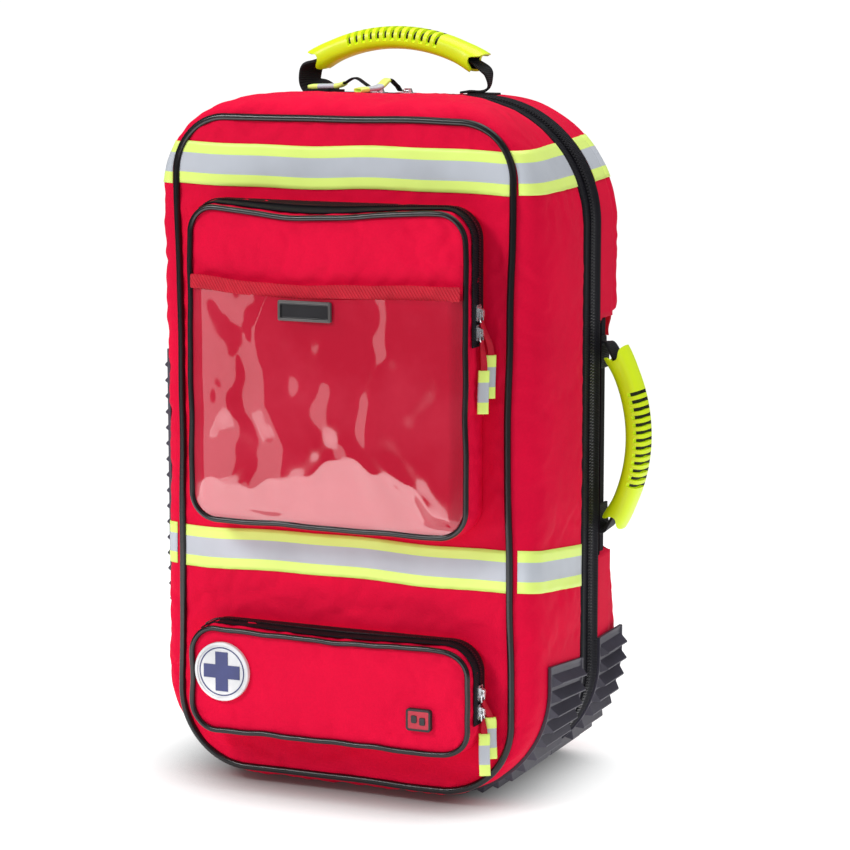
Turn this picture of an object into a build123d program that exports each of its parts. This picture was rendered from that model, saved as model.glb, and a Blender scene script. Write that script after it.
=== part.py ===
"""Upright soft-sided rescue backpack, built piece by piece.

+X is the side with the side handle, the front faces -Y and +Z is up. The origin lies on the floor,
under the middle of the bag, on the rear half's ribbed rubber skid. Millimetres.
"""

import os
from math import asin, cos, degrees, pi, radians, sin

from build123d import *

os.makedirs("parts", exist_ok=True)

# Main body outline, seen from the front
half_width = 195.0
base_z = 6.0
top_z = 657.0
base_radius = 108.0
top_radius = 92.0

# Depths along Y
front_y = -155.0
split_y = -12.0
zip_half = 23.0
back_y = 55.0
housing_y = 85.0
zip_front_y = split_y - zip_half
zip_rear_y = split_y + zip_half

# The front panel is smaller than the body, and a rounded edge leads to it
edge_side = 23.0
edge_base = 9.7
edge_top = 15.0
edge_depth = 20.0
edge_base_radius = 38.0
edge_top_radius = 40.0

# Fabric and trim
wall = 4.0
gap = 0.2
body_gap = 0.3
reach = 400.0
zip_recess = 1.6
tape_thickness = 0.8
tape_height = 40.0
piping_radius = 2.6
piping_sink = 1.6
upper_tape_z = 597.5
lower_tape_z = 230.4

# Rubber skids: base layer and ribs, which make up the space under the fabric
skid_base = 2.5
rib_height = base_z - skid_base
rib_pitch = 15.5
rib_foot = 9.5
rib_tip = 6.0
skid_front_y = -121.0
skid_rear_y = 76.0
skid_right_z = 135.0
skid_left_z = 415.0
skid_seam_z = 40.0

# Pockets on the front panel
pocket_depth = 35.0
pocket_radius = 28.0
pocket_edge = 7.0
pocket_face_y = front_y - pocket_depth
upper_pocket_half = 142.0
upper_pocket_z = (262.0, 564.5)
lower_pocket_half = 144.5
lower_pocket_z = (57.6, 161.7)
pocket_piping_radius = 2.2
pocket_piping_lift = 0.8
pocket_zip_ends = {"upper": 440.0, "lower": 88.0}
pocket_zip_width = 25.0
pocket_zip_thickness = 1.0
pocket_zip_y = front_y - pocket_depth / 2

# Recess beside the side handle, in the right side of the rear half
recess_z = (216.0, 446.0)
recess_x = half_width - 5.0
recess_y = 13.0
recess_bend_y = 36.0
recess_end_x = 170.0
panel_thickness = 1.2

# Harness on the back
cover_low_z = 446.0
housing_high_z = 216.0
cover_wall = 3.0
cover_edge = 0.45
cover_straight = 20.0
pad_thickness = 11.0
strap_thickness = 12.0
strap_width = 62.0
strap_y = back_y + pad_thickness + 2.0

# Handles
grip_chord = 180.0
grip_rise = 24.0
grip_thickness = 22.0
grip_width = 34.0
grip_slots = 13
slot_pitch = 7.9
slot_size = (16.0, 3.6)
slot_depth_radius = 8.0
slot_half_width = 9.0
grip_edge_radius = 8.0
channel_gap = 0.5
webbing_thickness = 3.0
webbing_width = 22.0
handle_height = 45.0
handle_y = 24.5
top_handle_x = -14.0
side_handle_z = 332.0
anchor_thickness = 2.0
anchor_length = 28.0
anchor_corner = 3.0
anchor_overlap = 4.0
leg_outset = 3.0
hinge_gap = 1.5

# Zip sliders and their pulls
slider_length = 15.0
slider_width = 10.0
slider_plate = 2.4
slider_corner = 2.5
bridge_width = 4.0
bridge_slope = 2.0
bridge_length = 10.0
bridge_height = 6.6
pin_height = 4.4
pin_hole = 1.4
pull_thickness = 1.6
pull_width = 11.0
pocket_pull_width = 8.6
main_slider_x = {"left": -25.0, "right": 5.0}
main_pull_lengths = {"left": 60.0, "right": 52.0}
main_pull_turn = 62.0
high_pull_shift = 9.0
low_pull_shift = -2.0
link_length = 9.0
neck_length = 6.0
link_width = 8.4
link_wire = 1.6


def save(piece, name):
    """Label one finished piece and write its STEP file."""
    piece.label = name
    export_step(piece, f"parts/{name}.step")


def at_y(y):
    """The plane facing the front at depth y, with X across and Z up."""
    return Plane.XZ.offset(-y)


def rounded_outline(y, half, low, high, low_radius, high_radius):
    """An upright rounded rectangle at depth y."""
    with BuildSketch(at_y(y)) as face:
        with Locations((0, (low + high) / 2)):
            Rectangle(2 * half, high - low)
        fillet(face.vertices().group_by(Axis.Y)[-1], high_radius)
        fillet(face.vertices().group_by(Axis.Y)[0], low_radius)
    return face.sketch


def body_outline(y, edge=0.0, grow=0.0):
    """The bag's outline at depth y: edge 1 is the front panel's size, grow moves it outward."""
    return rounded_outline(
        y,
        half_width - edge_side * edge + grow,
        base_z + edge_base * edge - grow,
        top_z - edge_top * edge + grow,
        base_radius - edge_base_radius * edge + grow,
        top_radius - edge_top_radius * edge + grow,
    )


def front_form(grow, rear_y):
    """The solid form of the front half, from its panel back to rear_y."""
    bend = radians(45)
    bend_y = front_y + edge_depth * (1 - cos(bend)) - grow * cos(bend)
    sections = [
        body_outline(front_y - grow, 1.0, grow),
        body_outline(bend_y, 1 - sin(bend), grow),
        body_outline(front_y + edge_depth, 0.0, grow),
        body_outline(rear_y, 0.0, grow),
    ]
    with BuildPart() as form:
        loft(sections=sections, ruled=True)
    return form.part


def back_form(front, grow):
    """The solid form behind the rear half: straight sides, then a bevel to the rear face."""
    bevel = housing_y - back_y - cover_straight
    sections = [
        body_outline(front, 0.0, grow),
        body_outline(housing_y - bevel, 0.0, grow),
        body_outline(housing_y + grow, cover_edge, grow),
    ]
    with BuildPart() as form:
        loft(sections=sections, ruled=True)
    return form.part


def slab(z_low, z_high, x_low=-reach, x_high=reach, y_low=-reach, y_high=reach):
    """A plain block for keeping part of a form."""
    with BuildPart() as block:
        with Locations(((x_low + x_high) / 2, (y_low + y_high) / 2, (z_low + z_high) / 2)):
            Box(x_high - x_low, y_high - y_low, z_high - z_low)
    return block.part


def bead(path, radius, backing):
    """A round piping bead along a closed path, flattened where it is sewn to its backing."""
    with BuildPart() as piping:
        with BuildSketch(Plane(origin=path @ 0, z_dir=path % 0)):
            Circle(radius)
        sweep(path=path)
        add(backing, mode=Mode.SUBTRACT)
    return piping.part


# ---------------------------------------------------------------- front half (the lid)

front_solid = front_form(0.0, zip_front_y)
front_cavity = front_form(-wall, split_y + wall)
lid_rear_y = split_y - gap

with BuildPart() as front_shell:
    add(front_solid)
    extrude(body_outline(zip_front_y, 0.0, -zip_recess), amount=zip_front_y - lid_rear_y)
    add(front_cavity, mode=Mode.SUBTRACT)
save(front_shell.part, "front_shell")

front_path = body_outline(front_y - piping_radius + piping_sink, 1.0).wire()
front_piping = bead(front_path, piping_radius, front_solid)
save(front_piping, "front_piping")


def zip_ring(y_low, y_high):
    """One half of the main zip: the black tape that runs round the bag."""
    with BuildPart() as ring:
        extrude(body_outline(y_high), amount=y_high - y_low)
        extrude(body_outline(y_high, 0.0, -zip_recess), amount=y_high - y_low, mode=Mode.SUBTRACT)
    return ring.part


save(zip_ring(zip_front_y, lid_rear_y), "front_zip_tape")


def reflective_band(middle_z, base, outer, over=()):
    """Reflective tape round a form, at one height, cut where other pieces lie over it."""
    with BuildPart() as band:
        add(outer)
        add(base, mode=Mode.SUBTRACT)
        add(slab(middle_z - tape_height / 2, middle_z + tape_height / 2), mode=Mode.INTERSECT)
        for piece in over:
            add(piece, mode=Mode.SUBTRACT)
    return band.part


front_tape_form = front_form(tape_thickness, zip_front_y)
save(reflective_band(upper_tape_z, front_solid, front_tape_form, [front_piping]), "upper_band")

# ---------------------------------------------------------------- rubber skids


def skid_point(distance, height):
    """A point on the lower outline, measured from the right side's top, raised by height."""
    right_run = skid_right_z - base_z - base_radius
    corner_run = base_radius * pi / 2
    floor_run = 2 * (half_width - base_radius)
    centre_z = base_z + base_radius
    arc = base_radius + height
    if distance < right_run:
        return (half_width + height, skid_right_z - distance)
    distance -= right_run
    if distance < corner_run:
        turn = distance / base_radius
        return (half_width - base_radius + arc * cos(turn), centre_z - arc * sin(turn))
    distance -= corner_run
    if distance < floor_run:
        return (half_width - base_radius - distance, base_z - height)
    distance -= floor_run
    if distance < corner_run:
        turn = distance / base_radius
        return (base_radius - half_width - arc * sin(turn), centre_z - arc * cos(turn))
    return (-half_width - height, centre_z + distance - corner_run)


skid_length = (
    skid_right_z + skid_left_z - 2 * (base_z + base_radius)
    + base_radius * pi
    + 2 * (half_width - base_radius)
)
floor_middle = (
    skid_right_z - base_z - base_radius + base_radius * pi / 2 + half_width - base_radius
)
rib_shift = floor_middle % rib_pitch


def skid_profile():
    """The ribbed strip's section: ribs stand on a base layer that follows the bag."""
    points = [skid_point(0, skid_base)]
    middle = rib_shift
    while middle < skid_length - rib_foot:
        if middle > rib_foot:
            points.append(skid_point(middle - rib_foot / 2, skid_base))
            points.append(skid_point(middle - rib_tip / 2, skid_base + rib_height))
            points.append(skid_point(middle + rib_tip / 2, skid_base + rib_height))
            points.append(skid_point(middle + rib_foot / 2, skid_base))
        middle += rib_pitch
    points.append(skid_point(skid_length, skid_base))
    points.append((0, skid_left_z))
    points.append((0, skid_right_z))
    return points


def skid(y_low, y_high, seam_low, seam_high):
    """One half's skid: full height beside the zip, and across the zip only under the bag."""
    with BuildPart() as strip:
        with BuildSketch(at_y(y_high)):
            Polygon(*skid_profile(), align=None)
        extrude(amount=y_high - y_low)
        with BuildSketch(at_y(seam_high)):
            Polygon(*skid_profile(), align=None)
        extrude(amount=seam_high - seam_low)
        extrude(body_outline(y_high), amount=reach, both=True, mode=Mode.SUBTRACT)
        add(slab(skid_seam_z, top_z, y_low=seam_low, y_high=seam_high), mode=Mode.SUBTRACT)
    return strip.part


front_skid = skid(skid_front_y, zip_front_y, zip_front_y, lid_rear_y)
save(front_skid, "front_skid")
lower_band = reflective_band(
    lower_tape_z, front_solid, front_tape_form, [front_piping, front_skid]
)
save(lower_band, "lower_band")
save(skid(zip_rear_y, skid_rear_y, split_y + gap, zip_rear_y), "rear_skid")

# ---------------------------------------------------------------- pockets on the front


def pocket_outline(y, half, z_range, grow=0.0):
    """A pocket's outline at depth y."""
    radius = pocket_radius + grow
    return rounded_outline(y, half + grow, z_range[0] - grow, z_range[1] + grow, radius, radius)


def pocket_body(half, z_range):
    """A closed, filled pocket with a softened front edge."""
    with BuildPart() as pocket:
        sections = [
            pocket_outline(pocket_face_y, half, z_range, -pocket_edge / 2),
            pocket_outline(pocket_face_y + pocket_edge / 2, half, z_range),
            pocket_outline(front_y, half, z_range),
        ]
        loft(sections=sections, ruled=True)
    return pocket.part


def pocket_zip(half, z_range, low_z):
    """Zip tape on the gusset: along the top and down the right side to low_z."""
    y_low = pocket_zip_y - pocket_zip_width / 2
    y_high = pocket_zip_y + pocket_zip_width / 2
    with BuildPart() as tape:
        extrude(pocket_outline(y_high, half, z_range, pocket_zip_thickness), amount=pocket_zip_width)
        extrude(pocket_outline(y_high, half, z_range), amount=pocket_zip_width, mode=Mode.SUBTRACT)
        add(slab(low_z, reach + top_z, pocket_radius - half, reach, y_low, y_high), mode=Mode.INTERSECT)
    return tape.part


upper_pocket = pocket_body(upper_pocket_half, upper_pocket_z)
lower_pocket = pocket_body(lower_pocket_half, lower_pocket_z)
save(upper_pocket, "upper_pocket")
save(lower_pocket, "lower_pocket")


def pocket_piping(half, z_range, pocket):
    """The bead round a pocket's front edge."""
    path_y = pocket_face_y - pocket_piping_lift
    path = pocket_outline(path_y, half, z_range, -pocket_edge / 2).wire()
    return bead(path, pocket_piping_radius, pocket)


save(pocket_piping(upper_pocket_half, upper_pocket_z, upper_pocket), "upper_pocket_piping")
save(pocket_piping(lower_pocket_half, lower_pocket_z, lower_pocket), "lower_pocket_piping")
save(pocket_zip(upper_pocket_half, upper_pocket_z, pocket_zip_ends["upper"]), "upper_pocket_zip")
save(pocket_zip(lower_pocket_half, lower_pocket_z, pocket_zip_ends["lower"]), "lower_pocket_zip")

window_top_z = 475.8
window_thickness = 0.6
window_inset = 8.0
strip_height = 12.7
strip_thickness = 1.0
strip_z = window_top_z + gap + strip_height / 2
strip_overlap = 1.0
strip_half = upper_pocket_half - window_inset + strip_overlap

with BuildPart() as pocket_window:
    window_face = pocket_outline(pocket_face_y, upper_pocket_half, upper_pocket_z, -window_inset)
    extrude(window_face, amount=window_thickness)
    add(slab(0, window_top_z), mode=Mode.INTERSECT)
save(pocket_window.part, "pocket_window")

with BuildPart() as window_strip:
    with BuildSketch(at_y(pocket_face_y)):
        with Locations((0, strip_z)):
            Rectangle(2 * strip_half, strip_height)
    extrude(amount=strip_thickness)
save(window_strip.part, "window_strip")

tag_size = (54.0, 19.0)
tag_center = (-21.0, 465.0)
tag_thickness = 1.4
tag_corner = 1.5
tag_border = 3.0
with BuildPart() as id_tag:
    with BuildSketch(at_y(pocket_face_y - window_thickness)):
        with Locations(tag_center):
            RectangleRounded(*tag_size, tag_corner)
    extrude(amount=tag_thickness)
    with BuildSketch(at_y(pocket_face_y - window_thickness - tag_thickness)):
        with Locations(tag_center):
            Rectangle(tag_size[0] - 2 * tag_border, tag_size[1] - 2 * tag_border)
    extrude(amount=-tag_thickness / 2, mode=Mode.SUBTRACT)
save(id_tag.part, "id_tag")

badge_center = (-110.0, 117.5)
badge_radius = 28.5
badge_thickness = 4.0
badge_rim = 2.6
badge_floor = 2.8
badge_edge = 1.0
cross_arm = 13.0
cross_span = 38.0
inlay_thickness = 0.6
badge_floor_y = pocket_face_y - badge_floor

with BuildPart() as badge_disc:
    with BuildSketch(at_y(pocket_face_y)):
        with Locations(badge_center):
            Circle(badge_radius)
    extrude(amount=badge_thickness)
    fillet(badge_disc.edges().group_by(Axis.Y)[0], badge_edge)
    with BuildSketch(at_y(badge_floor_y)):
        with Locations(badge_center):
            Circle(badge_radius - badge_rim)
    extrude(amount=badge_thickness, mode=Mode.SUBTRACT)
save(badge_disc.part, "badge_disc")

with BuildPart() as badge_cross:
    with BuildSketch(at_y(badge_floor_y)):
        with Locations(badge_center):
            Rectangle(cross_span, cross_arm)
            Rectangle(cross_arm, cross_span)
    extrude(amount=inlay_thickness)
save(badge_cross.part, "badge_cross")

patch_size = (25.0, 21.0)
patch_center = (94.0, 91.0)
patch_thickness = 2.0
patch_bar = (4.0, 10.0)
patch_corner = 3.0
with BuildPart() as pocket_patch:
    with BuildSketch(at_y(pocket_face_y)):
        with Locations(patch_center):
            RectangleRounded(*patch_size, patch_corner)
    extrude(amount=patch_thickness)
    with BuildSketch(at_y(pocket_face_y - patch_thickness)):
        with Locations(patch_center):
            with GridLocations(2 * patch_bar[0], 0, 2, 1):
                Rectangle(*patch_bar)
    extrude(amount=-patch_thickness / 3, mode=Mode.SUBTRACT)
save(pocket_patch.part, "pocket_patch")

# ---------------------------------------------------------------- rear half


def recess_outline(inset, rear):
    """The plan of the recess beside the side handle, inset into the bag."""
    with BuildSketch(Plane.XY.offset(recess_z[0] - inset)) as plan:
        Polygon(
            (recess_x - inset, recess_y - inset),
            (reach, recess_y - inset),
            (reach, rear + wall),
            (recess_end_x - inset, rear + wall),
            (recess_end_x - inset, rear),
            (recess_x - inset, recess_bend_y - inset / 2),
            align=None,
        )
    return plan.sketch


recess_height = recess_z[1] - recess_z[0]

with BuildPart() as rear_cavity:
    extrude(body_outline(back_y - wall, 0.0, -wall), amount=back_y - wall - split_y + wall)
    extrude(recess_outline(wall, back_y), amount=recess_height + 2 * wall, mode=Mode.SUBTRACT)

with BuildPart() as rear_shell:
    extrude(body_outline(back_y), amount=back_y - zip_rear_y)
    extrude(body_outline(zip_rear_y, 0.0, -zip_recess), amount=zip_rear_y - split_y - gap)
    extrude(recess_outline(0.0, back_y), amount=recess_height, mode=Mode.SUBTRACT)
    add(rear_cavity.part, mode=Mode.SUBTRACT)
save(rear_shell.part, "rear_shell")
save(zip_ring(split_y + gap, zip_rear_y), "rear_zip_tape")

with BuildPart() as side_panel:
    with BuildSketch(Plane.XY.offset(recess_z[0])):
        Polygon(
            (recess_x, recess_y),
            (recess_x + panel_thickness, recess_y),
            (recess_x + panel_thickness, recess_bend_y),
            (recess_end_x + panel_thickness, back_y),
            (recess_end_x, back_y),
            (recess_x, recess_bend_y),
            align=None,
        )
    extrude(amount=recess_height)
save(side_panel.part, "side_panel")

with BuildPart() as rear_band_outer:
    extrude(body_outline(back_y, 0.0, tape_thickness), amount=back_y - zip_rear_y)
with BuildPart() as rear_band_base:
    extrude(body_outline(back_y), amount=back_y - zip_rear_y)
save(reflective_band(upper_tape_z, rear_band_base.part, rear_band_outer.part), "rear_band")

sheet_thickness = 2.0
sheet_inset = 32.0
with BuildPart() as frame_sheet:
    extrude(body_outline(back_y - wall, 0.0, -sheet_inset), amount=sheet_thickness)
save(frame_sheet.part, "frame_sheet")

shelf_thickness = 8.0
shelf_levels = (232.0, 440.0)
shelf_clearance = 14.0


def shelves(cavity, y_low, y_high):
    """Padded dividers across one half's inside, cut to fit its cavity."""
    with BuildPart() as dividers:
        for level in shelf_levels:
            low = level - shelf_thickness / 2
            add(slab(low, low + shelf_thickness, y_low=y_low, y_high=y_high))
        add(cavity, mode=Mode.INTERSECT)
    return dividers.part


rear_shelf_y = back_y - wall - sheet_thickness
save(shelves(front_cavity, front_y, lid_rear_y - shelf_clearance), "lid_dividers")
save(shelves(rear_cavity.part, split_y + gap, rear_shelf_y), "rear_dividers")

with BuildPart() as lumbar_housing:
    add(back_form(back_y, 0.0))
    add(slab(0, housing_high_z), mode=Mode.INTERSECT)
save(lumbar_housing.part, "lumbar_housing")

# ---------------------------------------------------------------- back harness

cover_front_y = back_y + body_gap
with BuildPart() as harness_cover:
    add(back_form(cover_front_y, 0.0))
    add(back_form(back_y, -cover_wall), mode=Mode.SUBTRACT)
    add(slab(cover_low_z, top_z), mode=Mode.INTERSECT)
save(harness_cover.part, "harness_cover")

cover_base = back_form(cover_front_y, 0.0)
cover_tape_form = back_form(cover_front_y, tape_thickness)
save(reflective_band(upper_tape_z, cover_base, cover_tape_form), "cover_band")

tab_width = 16.0
tab_length = 24.0
tab_thickness = 2.0
with BuildPart() as cover_tab:
    with BuildSketch(Plane.XY.offset(cover_low_z - tab_length)):
        with Locations((half_width - 1.5 * tab_width, housing_y - cover_wall / 2)):
            Rectangle(tab_width, tab_thickness)
    extrude(amount=tab_length)
save(cover_tab.part, "cover_tab")

pad_size = (104.0, 370.0)
pad_x = 72.0
pad_z = 412.0
pad_radius = 24.0
pad_edge = 4.0


def back_pad(side):
    """One of the two mesh-covered columns that rest against the wearer's back."""
    with BuildPart() as pad:
        with BuildSketch(at_y(back_y)):
            with Locations((side * pad_x, pad_z)):
                RectangleRounded(*pad_size, pad_radius)
        extrude(amount=-pad_thickness)
        fillet(pad.edges().group_by(Axis.Y)[-1], pad_edge)
    return pad.part


strap_points = ((58.0, 612.0), (88.0, 440.0), (76.0, 266.0))
strap_edge = 4.0


def shoulder_strap(side):
    """A padded shoulder strap, lying down over the back pad."""
    with BuildPart() as strap:
        with BuildSketch(at_y(strap_y)):
            with BuildLine():
                ThreePointArc(*[(side * x, z) for x, z in strap_points])
            trace(line_width=strap_width)
        extrude(amount=-strap_thickness)
        fillet(strap.edges().group_by(Axis.Y)[-1], strap_edge)
    return strap.part


buckle_size = (36.0, 27.0)
buckle_thickness = 5.0
buckle_corner = 3.0
buckle_edge = 1.0
buckle_slot = (27.0, 4.0)
buckle_slot_pitch = 10.4
buckle_drop = 5.0
buckle_lift = 2.0
buckle_top_z = strap_points[2][1] - buckle_drop
buckle_z = buckle_top_z - buckle_size[1] / 2
buckle_y = strap_y + buckle_lift


def ladder_lock(side):
    """The buckle under a shoulder strap, with three bars round two slots."""
    with BuildPart() as buckle:
        with BuildSketch(at_y(buckle_y)):
            with Locations((side * strap_points[2][0], buckle_z)):
                RectangleRounded(*buckle_size, buckle_corner)
                with GridLocations(0, buckle_slot_pitch, 1, 2):
                    Rectangle(*buckle_slot, mode=Mode.SUBTRACT)
        extrude(amount=-buckle_thickness)
        fillet(buckle.edges().group_by(Axis.Y)[-1], buckle_edge)
    return buckle.part


lower_webbing_width = 25.0
lower_webbing_thickness = 1.6
lower_webbing_slant = 6.0


def strap_webbing(side):
    """The flat webbing from behind a buckle down into the lumbar housing."""
    with BuildPart() as webbing:
        with BuildSketch(at_y(buckle_y - lower_webbing_thickness - gap)):
            with BuildLine():
                Line(
                    (side * strap_points[2][0], buckle_top_z),
                    (side * (strap_points[2][0] + lower_webbing_slant), housing_high_z + gap),
                )
            trace(line_width=lower_webbing_width)
        extrude(amount=-lower_webbing_thickness)
        add(slab(housing_high_z, buckle_top_z), mode=Mode.INTERSECT)
    return webbing.part


for side_name, side in (("left", -1), ("right", 1)):
    save(back_pad(side), f"back_pad_{side_name}")
    save(shoulder_strap(side), f"shoulder_strap_{side_name}")
    save(ladder_lock(side), f"ladder_lock_{side_name}")
    save(strap_webbing(side), f"strap_webbing_{side_name}")

sternum_z = 470.0
sternum_width = 20.0
sternum_reach = 53.0
clip_size = (50.0, 28.0)
clip_thickness = 8.0
clip_corner = 6.0
clip_edge = 1.5
clip_notch = (16.0, 7.0)
sternum_lift = 4.0
clip_lift = 1.0
with BuildPart() as sternum_strap:
    with BuildSketch(at_y(strap_y + sternum_lift)):
        with Locations((0, sternum_z)):
            with GridLocations(sternum_reach + clip_size[0] / 2, 0, 2, 1):
                Rectangle(sternum_reach - clip_size[0] / 2, sternum_width)
    extrude(amount=-lower_webbing_thickness)
save(sternum_strap.part, "sternum_strap")

with BuildPart() as sternum_clip:
    with BuildSketch(at_y(strap_y + clip_lift)):
        with Locations((0, sternum_z)):
            RectangleRounded(clip_size[0] - 2 * gap, clip_size[1], clip_corner)
            with GridLocations(0, clip_size[1], 1, 2):
                SlotOverall(*clip_notch, mode=Mode.SUBTRACT)
    extrude(amount=-clip_thickness)
    fillet(sternum_clip.edges().group_by(Axis.Y)[-1], clip_edge)
save(sternum_clip.part, "sternum_clip")

# ---------------------------------------------------------------- carrying handles

grip_radius = (grip_chord**2 / 4 + grip_rise**2) / (2 * grip_rise)
grip_half_angle = degrees(asin(grip_chord / 2 / grip_radius))
arc_center = (0.0, handle_height - grip_radius)
leg_x = grip_chord / 2 + leg_outset
leg_angle = degrees(asin((leg_x + webbing_thickness / 2) / grip_radius))
leg_top = arc_center[1] + grip_radius * cos(radians(leg_angle)) + 1.0
foot_chamfer = webbing_width / 2 - hinge_gap


def arc_band(inner, outer, half_angle):
    """A face between two arcs round the handle's centre."""
    with BuildSketch() as band:
        with Locations(arc_center):
            Circle(outer)
            Circle(inner, mode=Mode.SUBTRACT)
            side_x = 2 * outer * sin(radians(half_angle))
            side_y = 2 * outer * cos(radians(half_angle))
            Polygon((0, 0), (side_x, side_y), (-side_x, side_y), align=None, mode=Mode.INTERSECT)
    return band.sketch


def handle_grip(home):
    """A moulded grip on an arc, hollow for its webbing, with a row of slots in its back."""
    inner = grip_radius - grip_thickness / 2
    outer = grip_radius + grip_thickness / 2
    channel = webbing_thickness / 2 + channel_gap
    with BuildPart() as grip:
        with BuildSketch(home):
            add(arc_band(inner, outer, grip_half_angle))
        extrude(amount=grip_width / 2, both=True)
        long_edges = grip.edges().filter_by(lambda edge: edge.length > grip_chord / 2)
        fillet(long_edges, grip_edge_radius)
        with BuildSketch(home):
            add(arc_band(grip_radius - channel, grip_radius + channel, grip_half_angle + 2))
        extrude(amount=webbing_width / 2 + channel_gap, both=True, mode=Mode.SUBTRACT)
        pitch_angle = degrees(slot_pitch / grip_radius)
        row = (grip_slots - 1) * pitch_angle
        with BuildSketch(home):
            with Locations(arc_center):
                slot_radius = grip_radius + slot_depth_radius
                with PolarLocations(slot_radius, grip_slots, 90 - row / 2, row, endpoint=True):
                    Rectangle(*slot_size)
        extrude(amount=slot_half_width, both=True, mode=Mode.SUBTRACT)
    return grip.part


def handle_webbing(home):
    """The webbing through a grip, with a leg at each end narrowing to its foot."""
    half = webbing_thickness / 2
    with BuildPart() as webbing:
        with BuildSketch(home):
            add(arc_band(grip_radius - half, grip_radius + half, leg_angle))
            with Locations((0, (leg_top + hinge_gap) / 2)):
                with GridLocations(2 * leg_x, 0, 2, 1):
                    Rectangle(webbing_thickness, leg_top - hinge_gap)
        extrude(amount=webbing_width / 2, both=True)
        outward = Axis(home.origin, home.y_dir)
        foot_edges = webbing.edges().group_by(outward)[0].filter_by(Axis(home.origin, home.x_dir))
        chamfer(foot_edges, foot_chamfer)
    return webbing.part


def handle_anchors(home, from_middle):
    """The two sewn patches that hold a handle's webbing."""
    with BuildPart() as anchors:
        with BuildSketch(home):
            with GridLocations(2 * from_middle, 0, 2, 1):
                RectangleRounded(anchor_length, webbing_width, anchor_corner)
        extrude(amount=anchor_thickness)
    return anchors.part


top_home = Plane(
    origin=(top_handle_x, handle_y, top_z + anchor_thickness), x_dir=(1, 0, 0), z_dir=(0, -1, 0)
)
side_face_x = recess_x + panel_thickness
side_home = Plane(
    origin=(side_face_x + anchor_thickness, handle_y, side_handle_z),
    x_dir=(0, 0, -1),
    z_dir=(0, -1, 0),
)
anchor_reach = leg_x - anchor_length / 2 + anchor_overlap
top_foot = Plane(origin=(top_handle_x, handle_y, top_z), x_dir=(1, 0, 0), z_dir=(0, 0, 1))
side_foot = Plane(origin=(side_face_x, handle_y, side_handle_z), x_dir=(0, 0, 1), z_dir=(1, 0, 0))

for handle, home, foot in (("top", top_home, top_foot), ("side", side_home, side_foot)):
    save(handle_grip(home), f"{handle}_grip")
    save(handle_webbing(home), f"{handle}_webbing")
    save(handle_anchors(foot, anchor_reach), f"{handle}_anchors")

# ---------------------------------------------------------------- zip sliders and pulls


def zip_slider(home):
    """A slider on its zip: x is the way it travels and z points away from the tape."""
    with BuildPart() as slider:
        with BuildSketch(home):
            RectangleRounded(slider_length, slider_width, slider_corner)
        extrude(amount=slider_plate)
        side_face = Plane(origin=home.origin, x_dir=home.x_dir, z_dir=-home.y_dir)
        with BuildSketch(side_face):
            Polygon(
                (-bridge_length / 2, slider_plate / 2),
                (bridge_length / 2, slider_plate / 2),
                (bridge_length / 2 - bridge_slope, bridge_height),
                (bridge_slope - bridge_length / 2, bridge_height),
                align=None,
            )
            with Locations((0, pin_height)):
                Circle(pin_hole, mode=Mode.SUBTRACT)
        extrude(amount=bridge_width / 2, both=True)
    return slider.part


def pull_link():
    """The flat outline of the wire link round a slider's pin."""
    with BuildSketch() as link:
        with Locations((link_length / 2 - link_wire / 2, 0)):
            Rectangle(link_length, link_width)
            Rectangle(link_length - 2 * link_wire, link_width - 2 * link_wire, mode=Mode.SUBTRACT)
    return link.sketch


def straight_pull(home, shift, length, width):
    """A pull on its slider's pin, whose tape hangs beside the slider by shift."""
    start = link_length - link_wire
    with BuildPart() as pull:
        with BuildSketch(home.offset(-pull_thickness / 2)):
            add(pull_link())
            Polygon(
                (start, -link_width / 2),
                (start + neck_length, shift - width / 2),
                (start + neck_length, shift + width / 2),
                (start, link_width / 2),
                align=None,
            )
            with Locations((start + neck_length, shift)):
                Rectangle(length, width, align=(Align.MIN, Align.CENTER))
        extrude(amount=pull_thickness)
    return pull.part


def turned_pull(home, turn, length, width):
    """A pull whose tape turns to one side just past its link."""
    with BuildPart() as pull:
        with BuildSketch(home.offset(-pull_thickness / 2)):
            add(pull_link())
            with Locations(Location((link_length, 0), turn)):
                Rectangle(length, width, align=(Align.MIN, Align.CENTER))
        extrude(amount=pull_thickness)
    return pull.part


def travel_plane(x, y, z, along, outward):
    """A plane on a zip: x along its travel and z away from its tape."""
    return Plane(origin=(x, y, z), x_dir=along, z_dir=outward)


upward = (0, 0, 1)
main_pins = {}
for side_name, x in main_slider_x.items():
    home = travel_plane(x, split_y, top_z + gap, (1, 0, 0), upward)
    save(zip_slider(home), f"main_slider_{side_name}")
    main_pins[side_name] = travel_plane(x, split_y, top_z + gap + pin_height, (-1, 0, 0), upward)

left_pull = straight_pull(main_pins["left"], 0.0, main_pull_lengths["left"], pull_width)
right_pull = turned_pull(main_pins["right"], main_pull_turn, main_pull_lengths["right"], pull_width)
save(left_pull, "main_pull_left")
save(right_pull, "main_pull_right")

pocket_sliders = (
    ("upper_pocket", upper_pocket_half, 471.5, 453.5, 70.0),
    ("lower_pocket", lower_pocket_half, 118.0, 100.0, 60.0),
)
for pocket, half, high_z, low_z, length in pocket_sliders:
    face_x = half + pocket_zip_thickness + gap
    for place, z, shift in (("high", high_z, high_pull_shift), ("low", low_z, low_pull_shift)):
        home = travel_plane(face_x, pocket_zip_y, z, (0, 0, -1), (1, 0, 0))
        pull = straight_pull(home.offset(pin_height), shift, length, pocket_pull_width)
        save(zip_slider(home), f"{pocket}_slider_{place}")
        save(pull, f"{pocket}_pull_{place}")
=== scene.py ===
"""An upright red rescue backpack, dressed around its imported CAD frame. Metres, in the CAD frame."""

import math

import bmesh
import bpy
import numpy as np
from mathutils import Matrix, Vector, bvhtree


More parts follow.
